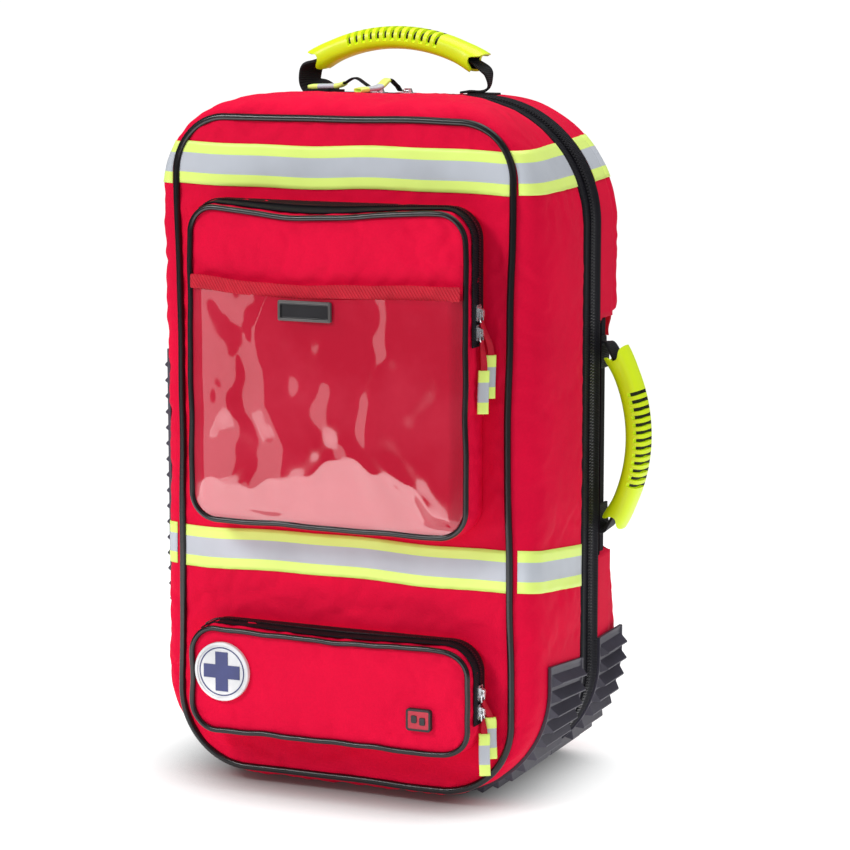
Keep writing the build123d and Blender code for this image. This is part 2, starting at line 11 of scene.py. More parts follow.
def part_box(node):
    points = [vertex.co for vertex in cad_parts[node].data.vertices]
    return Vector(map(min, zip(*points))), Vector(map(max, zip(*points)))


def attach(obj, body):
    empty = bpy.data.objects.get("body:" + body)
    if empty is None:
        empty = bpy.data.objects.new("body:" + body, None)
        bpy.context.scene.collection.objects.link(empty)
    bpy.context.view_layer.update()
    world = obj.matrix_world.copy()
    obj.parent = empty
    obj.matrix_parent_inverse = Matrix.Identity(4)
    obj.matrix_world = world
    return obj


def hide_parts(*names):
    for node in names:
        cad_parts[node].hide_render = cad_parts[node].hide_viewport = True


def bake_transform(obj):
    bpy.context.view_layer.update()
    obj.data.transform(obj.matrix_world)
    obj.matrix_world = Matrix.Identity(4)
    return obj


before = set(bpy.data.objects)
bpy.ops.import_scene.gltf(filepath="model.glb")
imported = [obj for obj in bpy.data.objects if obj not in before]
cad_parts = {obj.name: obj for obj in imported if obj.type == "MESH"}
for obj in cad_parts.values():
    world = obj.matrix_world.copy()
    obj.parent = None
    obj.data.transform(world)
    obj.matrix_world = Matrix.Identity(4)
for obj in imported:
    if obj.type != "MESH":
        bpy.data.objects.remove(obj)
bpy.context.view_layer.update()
scene = bpy.context.scene
scene.view_settings.view_transform = "Standard"


def smooth(x, low=0.0, high=1.0):
    """A smooth step from 0 at low to 1 at high."""
    t = np.clip((np.asarray(x, float) - low) / (high - low), 0.0, 1.0)
    return t * t * (3 - 2 * t)


def bell(x, middle, width):
    """A bump of height 1 round middle."""
    return np.exp(-(((np.asarray(x, float) - middle) / width) ** 2))


# ------------------------------------------------------------------ sizes, read from the frame

shell_low, shell_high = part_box("front_shell")
piping_low, piping_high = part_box("front_piping")
zip_low, zip_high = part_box("front_zip_tape")
zip_rear_low, zip_rear_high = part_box("rear_zip_tape")
pocket_low, pocket_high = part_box("upper_pocket")
bag_low, bag_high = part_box("lower_pocket")

HALF = shell_high[0]
BASE, TOP = shell_low[2], shell_high[2]
FRONT_Y = shell_low[1]
ZIP_Y = zip_low[1]
SPLIT_LID_Y = zip_high[1]
SPLIT_PACK_Y = zip_rear_low[1]
ZIP_REAR_Y = zip_rear_high[1]
BACK_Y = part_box("rear_shell")[1][1]
# Lower and upper corner radii of each outline, and how far the rear half's own outline is pulled in.
BODY_RADII = (0.108, 0.092)
PANEL_RADII = (0.070, 0.052)
ZIP_TOP_RADIUS = 0.118
REAR_TOP_RADIUS = 0.122
REAR_INSET = 0.003
REAR_TOP_DROP = 0.002
PIPING = 0.0026
EDGE_DEPTH = 0.020
POCKET_RADIUS = 0.028


def shape(x_low, x_high, z_low, z_high, r_low, r_high):
    """A rounded rectangle: its sides and its lower and upper corner radii."""
    return (x_low, x_high, z_low, z_high, r_low, r_high)


BODY = shape(-HALF, HALF, BASE, TOP, *BODY_RADII)
PANEL = shape(
    piping_low[0] + PIPING, piping_high[0] - PIPING,
    piping_low[2] + PIPING, piping_high[2] - PIPING, *PANEL_RADII,
)


ZIP_BODY = shape(-HALF, HALF, BASE, TOP, BODY_RADII[0], ZIP_TOP_RADIUS)
REAR_BODY = shape(
    -HALF + REAR_INSET, HALF - REAR_INSET, BASE, TOP - REAR_TOP_DROP, BODY_RADII[0], REAR_TOP_RADIUS
)


def between(a, b, t):
    """The shape a share t of the way from a to b."""
    return tuple(p + (q - p) * t for p, q in zip(a, b))


def grown(a, by):
    """A shape moved outward by a distance."""
    return (a[0] - by, a[1] + by, a[2] - by, a[3] + by, max(a[4] + by, 0.001), max(a[5] + by, 0.001))


# ------------------------------------------------------------------ mesh building


def make_object(name, points, faces, uvs=None, smooth_faces=True):
    """A mesh object from points, faces and one uv for each point."""
    mesh = bpy.data.meshes.new(name)
    mesh.from_pydata([tuple(p) for p in points], [], [tuple(f) for f in faces])
    if uvs is not None:
        layer = mesh.uv_layers.new(name="cloth")
        loops = np.zeros(len(mesh.loops), dtype=np.int32)
        mesh.loops.foreach_get("vertex_index", loops)
        layer.data.foreach_set("uv", np.asarray(uvs, dtype=np.float32)[loops].ravel())
    mesh.polygons.foreach_set("use_smooth", [smooth_faces] * len(mesh.polygons))
    mesh.update()
    piece = bpy.data.objects.new(name, mesh)
    scene.collection.objects.link(piece)
    return piece


def panel_points(outline, nx, nz, nc):
    """Grid points (nz+1, nx+1, 2) that fill a rounded rectangle, with nc cells across each corner."""
    x_low, x_high, z_low, z_high, r_low, r_high = outline
    points = np.zeros((nz + 1, nx + 1, 2))
    for j in range(nz + 1):
        if j <= nc:
            radius, up, side = r_low, 1 - j / nc, -1
        elif j >= nz - nc:
            radius, up, side = r_high, (j - nz + nc) / nc, 1
        else:
            t = (j - nc) / (nz - 2 * nc)
            radius, up, side = r_low + (r_high - r_low) * t, 0.0, 0
        if side < 0:
            middle_z = z_low + r_low
        elif side > 0:
            middle_z = z_high - r_high
        else:
            middle_z = z_low + r_low + (z_high - r_high - z_low - r_low) * t
        for i in range(nx + 1):
            if i <= nc:
                out, way = 1 - i / nc, -1
            elif i >= nx - nc:
                out, way = (i - nx + nc) / nc, 1
            else:
                out, way = 0.0, 0
            out_x = out * math.sqrt(1 - up * up / 2)
            out_z = up * math.sqrt(1 - out * out / 2)
            if way < 0:
                x = x_low + radius - radius * out_x
            elif way > 0:
                x = x_high - radius + radius * out_x
            else:
                s = (i - nc) / (nx - 2 * nc)
                x = x_low + radius + (x_high - x_low - 2 * radius) * s
            points[j, i] = (x, middle_z + side * radius * out_z)
    return points


def rim_cells(nx, nz):
    """The grid's edge in order, anticlockwise seen from the front."""
    rim = [(0, i) for i in range(nx)]
    rim += [(j, nx) for j in range(nz)]
    rim += [(nz, nx - i) for i in range(nx)]
    rim += [(nz - j, 0) for j in range(nz)]
    return rim


class Tray:
    """A sheet over a rounded panel whose edge runs back through a row of sections."""

    def __init__(self, sections, nx, nz, nc, facing=-1, close=False):
        rim = rim_cells(nx, nz)
        first_shape, first_y = sections[0]
        face = panel_points(first_shape, nx, nz, nc)
        self.nx, self.nz, self.rim_count = nx, nz, len(rim)
        points = [(x, first_y, z) for x, z in face.reshape(-1, 2)]
        uvs = [(x, z) for x, z in face.reshape(-1, 2)]
        index = np.arange((nx + 1) * (nz + 1)).reshape(nz + 1, nx + 1)
        faces = []
        for j in range(nz):
            for i in range(nx):
                faces.append((index[j, i], index[j, i + 1], index[j + 1, i + 1], index[j + 1, i]))
        self.face_grid = index
        loop = [index[j, i] for j, i in rim]
        self.loops = [loop]
        previous = np.array([points[k] for k in loop])
        lengths = np.linalg.norm(np.diff(np.vstack([previous, previous[:1]]), axis=0), axis=1)
        along = np.concatenate([[0], np.cumsum(lengths)[:-1]])
        depth = 0.0
        for outline, y in sections[1:]:
            grid = panel_points(outline, nx, nz, nc)
            ring = np.array([(grid[j, i][0], y, grid[j, i][1]) for j, i in rim])
            depth += float(np.linalg.norm(ring - previous, axis=1).mean())
            start = len(points)
            points += [tuple(p) for p in ring]
            uvs += [(a, -1.0 - depth) for a in along]
            new = list(range(start, start + len(rim)))
            for k in range(len(rim)):
                n = (k + 1) % len(rim)
                faces.append((loop[k], new[k], new[n], loop[n]))
            loop = new
            self.loops.append(new)
            previous = ring
        if close:
            outline, y = sections[-1]
            grid = panel_points(outline, nx, nz, nc)
            back = -np.ones((nz + 1, nx + 1), dtype=int)
            for k, (j, i) in enumerate(rim):
                back[j, i] = loop[k]
            for j in range(1, nz):
                for i in range(1, nx):
                    back[j, i] = len(points)
                    points.append((grid[j, i][0], y, grid[j, i][1]))
                    uvs.append((grid[j, i][0], grid[j, i][1]))
            for j in range(nz):
                for i in range(nx):
                    faces.append((back[j, i], back[j + 1, i], back[j + 1, i + 1], back[j, i + 1]))
        if facing > 0:
            faces = [tuple(reversed(f)) for f in faces]
        self.points = np.array(points)
        self.faces = faces
        self.uvs = np.array(uvs)

    def build(self, name):
        return make_object(name, self.points, self.faces, self.uvs)


def mesh_points(piece):
    """The piece's own vertices as an array."""
    out = np.zeros(len(piece.data.vertices) * 3)
    piece.data.vertices.foreach_get("co", out)
    return out.reshape(-1, 3)


def set_points(piece, points):
    piece.data.vertices.foreach_set("co", np.asarray(points, dtype=np.float32).ravel())
    piece.data.update()


def shown_mesh(piece):
    """The piece's mesh with its modifiers, as points and faces."""
    graph = bpy.context.evaluated_depsgraph_get()
    final = piece.evaluated_get(graph)
    mesh = final.to_mesh()
    points = np.zeros(len(mesh.vertices) * 3)
    mesh.vertices.foreach_get("co", points)
    faces = [tuple(p.vertices) for p in mesh.polygons]
    final.to_mesh_clear()
    return points.reshape(-1, 3), faces


def surface_of(*pieces):
    """A search tree over the pieces' shown surfaces."""
    points, faces = [], []
    for piece in pieces:
        p, f = shown_mesh(piece)
        start = len(points)
        points += [tuple(q) for q in p]
        faces += [tuple(k + start for k in g) for g in f]
    return bvhtree.BVHTree.FromPolygons(points, faces)


def laid_on(points, normals, tree, lift):
    """Points dropped on to a surface against their normals, and lifted off it."""
    reach = 0.03
    out = []
    for p, n in zip(np.asarray(points, float), np.asarray(normals, float)):
        direction = Vector(n).normalized()
        hit = tree.ray_cast(Vector(p) + direction * reach, -direction, 2 * reach)[0]
        base = hit if hit is not None else Vector(p)
        out.append(tuple(base + direction * lift))
    return np.array(out)


PUFF_FRAMES = 18


def puff(piece, held, pressure, slack, cap, nudge, seed):
    """Cloth simulation of one piece, sewn fast where held is 1: it fills a little and wrinkles."""
    rest = mesh_points(piece)
    noise = np.random.default_rng(seed).normal(0.0, nudge, rest.shape)
    set_points(piece, rest + noise * (1 - held)[:, None])
    group = piece.vertex_groups.new(name="sewn")
    for index in np.nonzero(held > 0.01)[0]:
        group.add([int(index)], float(held[index]), "REPLACE")
    cloth = piece.modifiers.new("Cloth", "CLOTH")
    settings = cloth.settings
    settings.quality = 6
    settings.mass = 0.25
    settings.tension_stiffness = 12
    settings.compression_stiffness = 12
    settings.shear_stiffness = 6
    settings.bending_stiffness = 0.6
    settings.air_damping = 3
    settings.vertex_group_mass = "sewn"
    settings.pin_stiffness = 10
    settings.use_pressure = True
    settings.uniform_pressure_force = pressure
    settings.shrink_min = -slack
    settings.effector_weights.gravity = 0
    cloth.collision_settings.use_collision = False
    cloth.collision_settings.use_self_collision = False
    cloth.point_cache.frame_start = 1
    cloth.point_cache.frame_end = PUFF_FRAMES
    for number in range(1, PUFF_FRAMES + 1):
        scene.frame_set(number)
    moved, _ = shown_mesh(piece)
    scene.frame_set(1)
    piece.modifiers.remove(cloth)
    piece.vertex_groups.remove(group)
    shift = moved - rest
    length = np.linalg.norm(shift, axis=1)
    scale = np.where(length > 1e-9, cap * np.tanh(length / cap) / np.maximum(length, 1e-9), 1.0)
    set_points(piece, rest + shift * (scale * (1 - held))[:, None])


def subdivide(piece):
    modifier = piece.modifiers.new("Subdivision", "SUBSURF")
    modifier.levels = 1
    modifier.render_levels = 1


def thicken(piece, thickness, offset=-1.0):
    modifier = piece.modifiers.new("Thickness", "SOLIDIFY")
    modifier.thickness = thickness
    modifier.offset = offset
    modifier.use_even_offset = False


# ------------------------------------------------------------------ materials


class Nodes:
    """A short way to write a material's nodes."""

    def __init__(self, name):
        self.material = bpy.data.materials.new(name)
        self.material.use_nodes = True
        self.tree = self.material.node_tree
        self.shader = self.tree.nodes["Principled BSDF"]

    def add(self, kind, **values):
        node = self.tree.nodes.new(kind)
        for key, value in values.items():
            if key in node.inputs:
                node.inputs[key].default_value = value
            else:
                setattr(node, key, value)
        return node

    def link(self, output, target):
        self.tree.links.new(output, target)

    def math(self, operation, a, b=0.0):
        node = self.add("ShaderNodeMath", operation=operation)
        for slot, value in enumerate((a, b)):
            if isinstance(value, (int, float)):
                node.inputs[slot].default_value = value
            else:
                self.link(value, node.inputs[slot])
        return node.outputs[0]

    def noise(self, scale, detail):
        node = self.add("ShaderNodeTexNoise", Scale=scale, Detail=detail, Roughness=0.55)
        self.link(self.object_coords(), node.inputs["Vector"])
        return node.outputs["Fac"]

    def object_coords(self):
        return self.add("ShaderNodeTexCoord").outputs["Object"]

    def uv(self):
        return self.add("ShaderNodeUVMap", uv_map="cloth").outputs["UV"]

    def ramp(self, value, stops):
        node = self.add("ShaderNodeValToRGB")
        node.color_ramp.interpolation = "LINEAR"
        while len(node.color_ramp.elements) < len(stops):
            node.color_ramp.elements.new(0.5)
        for element, (place, colour) in zip(node.color_ramp.elements, stops):
            element.position = place
            element.color = (*colour, 1.0)
        self.link(value, node.inputs["Fac"])
        return node.outputs["Color"]

    def set(self, **values):
        for key, value in values.items():
            name = key.replace("_", " ")
            self.shader.inputs[name].default_value = value
        return self

    def colour(self, output):
        self.link(output, self.shader.inputs["Base Color"])

    def smooth_range(self, value, low, high, to_low, to_high):
        """Maps a value's range from low to high on to another one, with eased ends."""
        node = self.add("ShaderNodeMapRange", interpolation_type="SMOOTHSTEP")
        for socket, number in (
            ("From Min", low), ("From Max", high), ("To Min", to_low), ("To Max", to_high)
        ):
            node.inputs[socket].default_value = number
        self.link(value, node.inputs["Value"])
        return node

    def bump(self, height, strength, distance, previous=None):
        node = self.add("ShaderNodeBump", Strength=strength, Distance=distance)
        self.link(height, node.inputs["Height"])
        if previous is not None:
            self.link(previous, node.inputs["Normal"])
        self.link(node.outputs["Normal"], self.shader.inputs["Normal"])
        return node.outputs["Normal"]


def tint(colour, factor):
    return tuple(min(1.0, c * factor) for c in colour)


def cloth_material(name, colour, pitch=0.0011, rough=0.66, weave=0.25, uv=True):
    """Woven cloth: threads over and under, slow changes of shade, and fine fuzz."""
    spread = 0.09
    m = Nodes(name)
    coords = m.uv() if uv else m.object_coords()
    split = m.add("ShaderNodeSeparateXYZ")
    m.link(coords, split.inputs[0])
    turn = 2 * math.pi / (2 * pitch)
    across = m.math("SINE", m.math("MULTIPLY", split.outputs[0], turn))
    other = split.outputs[1] if uv else split.outputs[2]
    up = m.math("SINE", m.math("MULTIPLY", other, turn))
    threads = m.math("MULTIPLY", across, up)
    slow = m.noise(9.0, 4.0)
    fine = m.noise(420.0, 2.0)
    shade = m.math("ADD", m.math("MULTIPLY", slow, 0.7), m.math("MULTIPLY", fine, 0.3))
    m.colour(m.ramp(shade, [(0.3, tint(colour, 1 - spread)), (0.7, tint(colour, 1 + spread))]))
    normal = m.bump(threads, weave, 0.0003)
    m.bump(m.noise(90.0, 4.0), 0.12, 0.0012, normal)
    m.set(Roughness=rough, Sheen_Weight=0.03, Sheen_Roughness=0.5, Specular_IOR_Level=0.06)
    m.set(Sheen_Tint=(*tint(colour, 1.2), 1.0))
    return m.material


def rubber_material(name, colour, rough=0.55, grain=260.0):
    """Moulded rubber or soft plastic: a fine grain and faint scuffs."""
    m = Nodes(name)
    scuffs = m.noise(26.0, 6.0)
    m.colour(m.ramp(scuffs, [(0.35, tint(colour, 0.85)), (0.75, tint(colour, 1.25))]))
    m.bump(m.noise(grain, 3.0), 0.22, 0.0004)
    m.set(Roughness=rough, Specular_IOR_Level=0.5)
    return m.material


RED = (0.80, 0.0035, 0.045)
FLUO = (0.78, 0.98, 0.20)
SILVER = (0.55, 0.585, 0.645)


def tape_material(name):
    """Reflective tape: a silver stripe of glass beads between two fluorescent edges, sewn on; the edges glow
    faintly, a painted glow for their fluorescence.
    """
    m = Nodes(name)
    split = m.add("ShaderNodeSeparateXYZ")
    m.link(m.uv(), split.inputs[0])
    across = split.outputs[1]
    stripe = m.math("ABSOLUTE", m.math("SUBTRACT", across, 0.5))
    silver = m.math("LESS_THAN", stripe, 0.23)
    shade = m.noise(14.0, 3.0)
    bead = m.ramp(shade, [(0.3, tint(SILVER, 0.92)), (0.7, tint(SILVER, 1.1))])
    fluo = m.ramp(shade, [(0.3, tint(FLUO, 0.93)), (0.7, tint(FLUO, 1.0))])
    mix = m.add("ShaderNodeMix", data_type="RGBA")
    m.link(silver, mix.inputs["Factor"])
    m.link(fluo, mix.inputs[6])
    m.link(bead, mix.inputs[7])
    m.colour(mix.outputs[2])
    # Emission on the fluorescent edges only: a painted glow that stands for their fluorescence, though the tape
    # is no lamp.
    m.link(mix.outputs[2], m.shader.inputs["Emission Color"])
    glow = m.math("MULTIPLY", m.math("SUBTRACT", 1.0, silver), 0.12)
    m.link(glow, m.shader.inputs["Emission Strength"])
    thread = m.math("LESS_THAN", m.math("ABSOLUTE", m.math("SUBTRACT", stripe, 0.46)), 0.012)
    step = m.math("SINE", m.math("MULTIPLY", split.outputs[0], 2 * math.pi / 0.0035))
    stitches = m.math("MULTIPLY", thread, m.math("GREATER_THAN", step, -0.4))
    edge = m.math("MULTIPLY", m.math("SUBTRACT", 1.0, silver), 0.5)
    height = m.math("ADD", m.math("MULTIPLY", stitches, -1.0), edge)
    normal = m.bump(height, 0.35, 0.0006)
    m.bump(m.noise(900.0, 2.0), 0.10, 0.0003, normal)
    m.set(Roughness=0.42, Specular_IOR_Level=0.5, Sheen_Weight=0.05)
    return m.material


def ribbed_material(name, colour, pitch, strength=0.5, slant=0.0):
    """Webbing, zip tape or ribbon: ribs across its length, with painted shade in the grooves between them."""
    spread = 0.15
    m = Nodes(name)
    split = m.add("ShaderNodeSeparateXYZ")
    m.link(m.uv(), split.inputs[0])
    along = m.math("ADD", split.outputs[0], m.math("MULTIPLY", split.outputs[1], slant))
    ribs = m.math("SINE", m.math("MULTIPLY", along, 2 * math.pi / pitch))
    # The colour follows the ribs as well as random tone: grooves darker and crests lighter, a painted shade
    # that matches the bump.
    shade = m.math("ADD", m.math("MULTIPLY", ribs, 0.12), m.noise(60.0, 4.0))
    m.colour(m.ramp(shade, [(0.3, tint(colour, 1 - spread)), (0.75, tint(colour, 1 + spread))]))
    m.bump(ribs, strength, 0.0004)
    m.set(Roughness=0.6, Sheen_Weight=0.02, Specular_IOR_Level=0.22)
    return m.material


def metal_material(name):
    """Bright plated zinc, with faint handling marks."""
    m = Nodes(name)
    m.colour(m.ramp(m.noise(300.0, 3.0), [(0.3, (0.70, 0.71, 0.74)), (0.7, (0.86, 0.87, 0.90))]))
    m.bump(m.noise(500.0, 2.0), 0.05, 0.0002)
    m.set(Metallic=0.75, Roughness=0.26)
    return m.material


def window_material():
    """Clear soft vinyl over the red cloth: glossy, with a faint haze."""
    m = Nodes("clear_vinyl")
    haze = m.noise(11.0, 5.0)
    m.colour(m.ramp(haze, [(0.42, (0.62, 0.004, 0.036)), (0.78, (0.74, 0.03, 0.075))]))
    m.set(
        Alpha=0.75, Roughness=0.07, Specular_IOR_Level=1.0, Coat_Weight=1.0,
        Coat_Roughness=0.03, IOR=1.52,
    )
    return m.material


def grip_material():
    """Soft fluorescent moulding, with a satin skin and a faint painted glow (emission) for its fluorescence."""
    m = Nodes("fluorescent_grip")
    base = m.ramp(m.noise(18.0, 4.0), [(0.3, (0.70, 0.90, 0.003)), (0.7, (0.76, 0.97, 0.006))])
    m.colour(base)
    # The grip's own colour is also given off as light: a painted glow, though the grip is no lamp.
    m.link(base, m.shader.inputs["Emission Color"])
    m.bump(m.noise(420.0, 2.0), 0.12, 0.0003)
    m.set(Roughness=0.38, Emission_Strength=0.12, Specular_IOR_Level=0.5)
    return m.material


def mesh_cloth_material(name, colour):
    """Spacer mesh: rows of small holes, painted dark as the shade inside them."""
    m = Nodes(name)
    split = m.add("ShaderNodeSeparateXYZ")
    m.link(m.object_coords(), split.inputs[0])
    turn = 2 * math.pi / 0.0042
    a = m.math("SINE", m.math("MULTIPLY", m.math("ADD", split.outputs[0], split.outputs[2]), turn))
    b = m.math("SINE", m.math("MULTIPLY", m.math("SUBTRACT", split.outputs[0], split.outputs[2]), turn))
    holes = m.math("MULTIPLY", a, b)
    # The holes are painted far darker than the mesh: a painted shade for their depth, which the bump alone does
    # not make.
    m.colour(m.ramp(holes, [(0.35, tint(colour, 1.3)), (0.7, tint(colour, 0.25))]))
    m.bump(holes, -0.5, 0.0008)
    m.set(Roughness=0.75, Sheen_Weight=0.2, Specular_IOR_Level=0.25)
    return m.material


red_cloth = cloth_material("red_cloth", RED)
black_cloth = cloth_material("black_cloth", (0.02, 0.019, 0.024), pitch=0.0016, rough=0.7, weave=0.4)
divider_cloth = cloth_material("divider_cloth", (0.72, 0.02, 0.05), uv=False, rough=0.8)
piping_gloss = rubber_material("piping_gloss", (0.0045, 0.0040, 0.0055), rough=0.30, grain=500.0)
zip_cloth = ribbed_material("zip_cloth", (0.0035, 0.0030, 0.0080), 0.0016)
coil_plastic = rubber_material("coil_plastic", (0.009, 0.008, 0.013), rough=0.35)
webbing = ribbed_material("webbing", (0.018, 0.018, 0.021), 0.0018)
skid_rubber = rubber_material("skid_rubber", (0.050, 0.045, 0.068), rough=0.46)
grosgrain = ribbed_material("grosgrain", (0.60, 0.010, 0.030), 0.0032, slant=0.6, strength=0.8)
reflective = tape_material("reflective_tape")
pull_red = ribbed_material("pull_red", (0.60, 0.006, 0.030), 0.0012)
pull_black = ribbed_material("pull_black", (0.012, 0.012, 0.014), 0.0012)
chrome = metal_material("plated_zinc")
vinyl = window_material()
fluorescent = grip_material()
air_mesh = mesh_cloth_material("air_mesh", (0.03, 0.03, 0.036))
buckle_plastic = rubber_material("buckle_plastic", (0.02, 0.02, 0.024), rough=0.4)
dark_rubber = rubber_material("dark_rubber", (0.02, 0.02, 0.022), rough=0.5)

# ------------------------------------------------------------------ shared shapes


def near_box(x, z, low, high, margin):
    """1 inside a box as seen from the front, falling to 0 at the margin round it."""
    away = np.maximum(np.maximum(low[0] - x, x - high[0]), np.maximum(low[2] - z, z - high[2]))
    return smooth(margin - away, 0.0, margin)


def bow(points):
    """The front panel's long sides pull in a little at half height."""
    p = np.array(points, float)
    depth = smooth(-p[:, 1], -ZIP_Y, -FRONT_Y)
    pull = 0.0045 * smooth(np.abs(p[:, 0]), 0.14, 0.172) * bell(p[:, 2], 0.35, 0.19) * depth
    p[:, 0] -= np.sign(p[:, 0]) * pull
    return p


def ring_path(outline, y, count):
    """Even points round a rounded rectangle at depth y, with the outward direction at each."""
    x_low, x_high, z_low, z_high, r_low, r_high = outline
    runs = []

    def line(a, b, normal):
        runs.append((math.dist(a, b), lambda t, a=a, b=b: (
            (a[0] + (b[0] - a[0]) * t, a[1] + (b[1] - a[1]) * t), normal)))

    def arc(centre, radius, start):
        def place(t):
            angle = math.radians(start + 90 * t)
            way = (math.cos(angle), math.sin(angle))
            return (centre[0] + radius * way[0], centre[1] + radius * way[1]), way
        runs.append((radius * math.pi / 2, place))

    line((x_low + r_low, z_low), (x_high - r_low, z_low), (0, -1))
    arc((x_high - r_low, z_low + r_low), r_low, -90)
    line((x_high, z_low + r_low), (x_high, z_high - r_high), (1, 0))
    arc((x_high - r_high, z_high - r_high), r_high, 0)
    line((x_high - r_high, z_high), (x_low + r_high, z_high), (0, 1))
    arc((x_low + r_high, z_high - r_high), r_high, 90)
    line((x_low, z_high - r_high), (x_low, z_low + r_low), (-1, 0))
    arc((x_low + r_low, z_low + r_low), r_low, 180)
    total = sum(length for length, _ in runs)
    points, normals = [], []
    for k in range(count):
        s = total * k / count
        for length, place in runs:
            if s < length:
                (x, z), (nx, nz) = place(s / length)
                points.append((x, y, z))
                normals.append((nx, 0.0, nz))
                break
            s -= length
    return np.array(points), np.array(normals), total


def directions(path):
    """Unit directions along a closed path."""
    step = np.roll(path, -1, axis=0) - np.roll(path, 1, axis=0)
    return step / np.maximum(np.linalg.norm(step, axis=1), 1e-9)[:, None]


def tube(name, path, radius, sides, up=(0.0, 1.0, 0.0)):
    """A closed round bead or wire along a path. up sets where its first side points."""
    path = np.asarray(path, float)
    along = directions(path)
    reference = np.tile(np.array(up), (len(path), 1))
    side = np.cross(along, reference)
    side /= np.maximum(np.linalg.norm(side, axis=1), 1e-6)[:, None]
    lift = np.cross(side, along)
    points, uvs = [], []
    run = np.concatenate([[0], np.cumsum(np.linalg.norm(np.diff(path, axis=0), axis=1))])
    for i in range(len(path)):
        for k in range(sides):
            angle = 2 * math.pi * k / sides
            offset = side[i] * math.cos(angle) + lift[i] * math.sin(angle)
            points.append(path[i] + offset * radius)
            uvs.append((run[i], k / sides))
    faces = []
    for i in range(len(path)):
        j = (i + 1) % len(path)
        for k in range(sides):
            n = (k + 1) % sides
            faces.append((i * sides + k, j * sides + k, j * sides + n, i * sides + n))
    return make_object(name, points, faces, uvs)


def sheet_grid(name, grid, uv_grid):
    """A mesh from a grid of points."""
    rows, columns = grid.shape[:2]
    faces = []
    for j in range(rows - 1):
        for i in range(columns - 1):
            a = j * columns + i
            faces.append((a, a + 1, a + columns + 1, a + columns))
    return make_object(name, grid.reshape(-1, 3), faces, uv_grid.reshape(-1, 2))


def ribbon(name, path, across, width, thickness, material, rows=4, widths=None):
    """A flat strap along a path; across is the direction of its width at each point."""
    path = np.asarray(path, float)
    across = np.asarray(across, float)
    if across.ndim == 1:
        across = np.tile(across, (len(path), 1))
    across = across / np.linalg.norm(across, axis=1)[:, None]
    share = np.ones(len(path)) if widths is None else np.asarray(widths, float)
    run = np.concatenate([[0], np.cumsum(np.linalg.norm(np.diff(path, axis=0), axis=1))])
    grid = np.zeros((rows + 1, len(path), 3))
    uv = np.zeros((rows + 1, len(path), 2))
    for j in range(rows + 1):
        v = j / rows - 0.5
        grid[j] = path + across * (width * share * v)[:, None]
        uv[j, :, 0] = run
        uv[j, :, 1] = v + 0.5
    piece = sheet_grid(name, grid, uv)
    piece.data.materials.append(material)
    thicken(piece, thickness, 0.0)
    bevel = piece.modifiers.new("Edges", "BEVEL")
    bevel.width = thickness * 0.3
    bevel.segments = 2
    bevel.limit_method = "ANGLE"
    return piece


def paint(node, material):
    """Gives a CAD node a new material."""
    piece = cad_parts[node]
    piece.data.materials.clear()
    piece.data.materials.append(material)


def finish_piece(piece, body, slot, replaces=()):
    """The body that a piece rides on, and the CAD nodes that it stands for; slot is not used."""
    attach(piece, body)
    if replaces:
        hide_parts(*replaces)
    return piece


# ------------------------------------------------------------------ front half


def front_shell():
    """The lid: a flat panel inside the piping, a rounded edge, and sides back to the zip."""
    sections = [(PANEL, FRONT_Y)]
    for step in (0.33, 0.67, 1.0):
        angle = step * math.pi / 2
        outline = between(PANEL, BODY, math.sin(angle))
        sections.append((outline, FRONT_Y + EDGE_DEPTH * (1 - math.cos(angle))))
    rows = 18
    for row in range(1, rows + 1):
        share = row / rows
        y = FRONT_Y + EDGE_DEPTH + (ZIP_Y - FRONT_Y - EDGE_DEPTH) * share
        sections.append((between(BODY, ZIP_BODY, float(smooth(share))), y))
    sections.append((grown(ZIP_BODY, -0.0022), ZIP_Y + 0.001))
    tray = Tray(sections, nx=62, nz=108, nc=12)
    tray.points = bow(tray.points)
    piece = tray.build("front_cover")
    piece.data.materials.append(red_cloth)
    held = np.zeros(len(tray.points))
    for loop in (tray.loops[0], tray.loops[-1], tray.loops[-2]):
        held[loop] = 1
    x, y, z = tray.points.T
    on_face = y < FRONT_Y + 0.001
    for low, high in ((pocket_low, pocket_high), (bag_low, bag_high)):
        held = np.maximum(held, near_box(x, z, low, high, 0.012) * on_face)
    for middle in BAND_HEIGHTS:
        held = np.maximum(held, 0.55 * smooth(0.024 - np.abs(z - middle), 0.0, 0.008))
    skid_end = np.where(x > 0, SKID_RIGHT_TOP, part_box("front_skid")[1][2])
    held = np.maximum(held, smooth(skid_end + 0.016 - z, 0.0, 0.012) * smooth(y, -0.143, -0.134))
    puff(piece, held, pressure=0.9, slack=0.02, cap=0.0065, nudge=0.0008, seed=11)
    subdivide(piece)
    thicken(piece, 0.003)
    return finish_piece(piece, "lid", "red_fabric", ["front_shell"])


upper_low, upper_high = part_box("upper_band")
lower_low, lower_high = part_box("lower_band")
BAND_HEIGHTS = ((upper_low[2] + upper_high[2]) / 2, (lower_low[2] + lower_high[2]) / 2)
TAPE = upper_high[2] - upper_low[2]
SKID_RIGHT_TOP = 0.135

front_cover = front_shell()
front_surface = surface_of(front_cover)


PANEL_BEAD = 0.0034
POCKET_BEAD = 0.0027


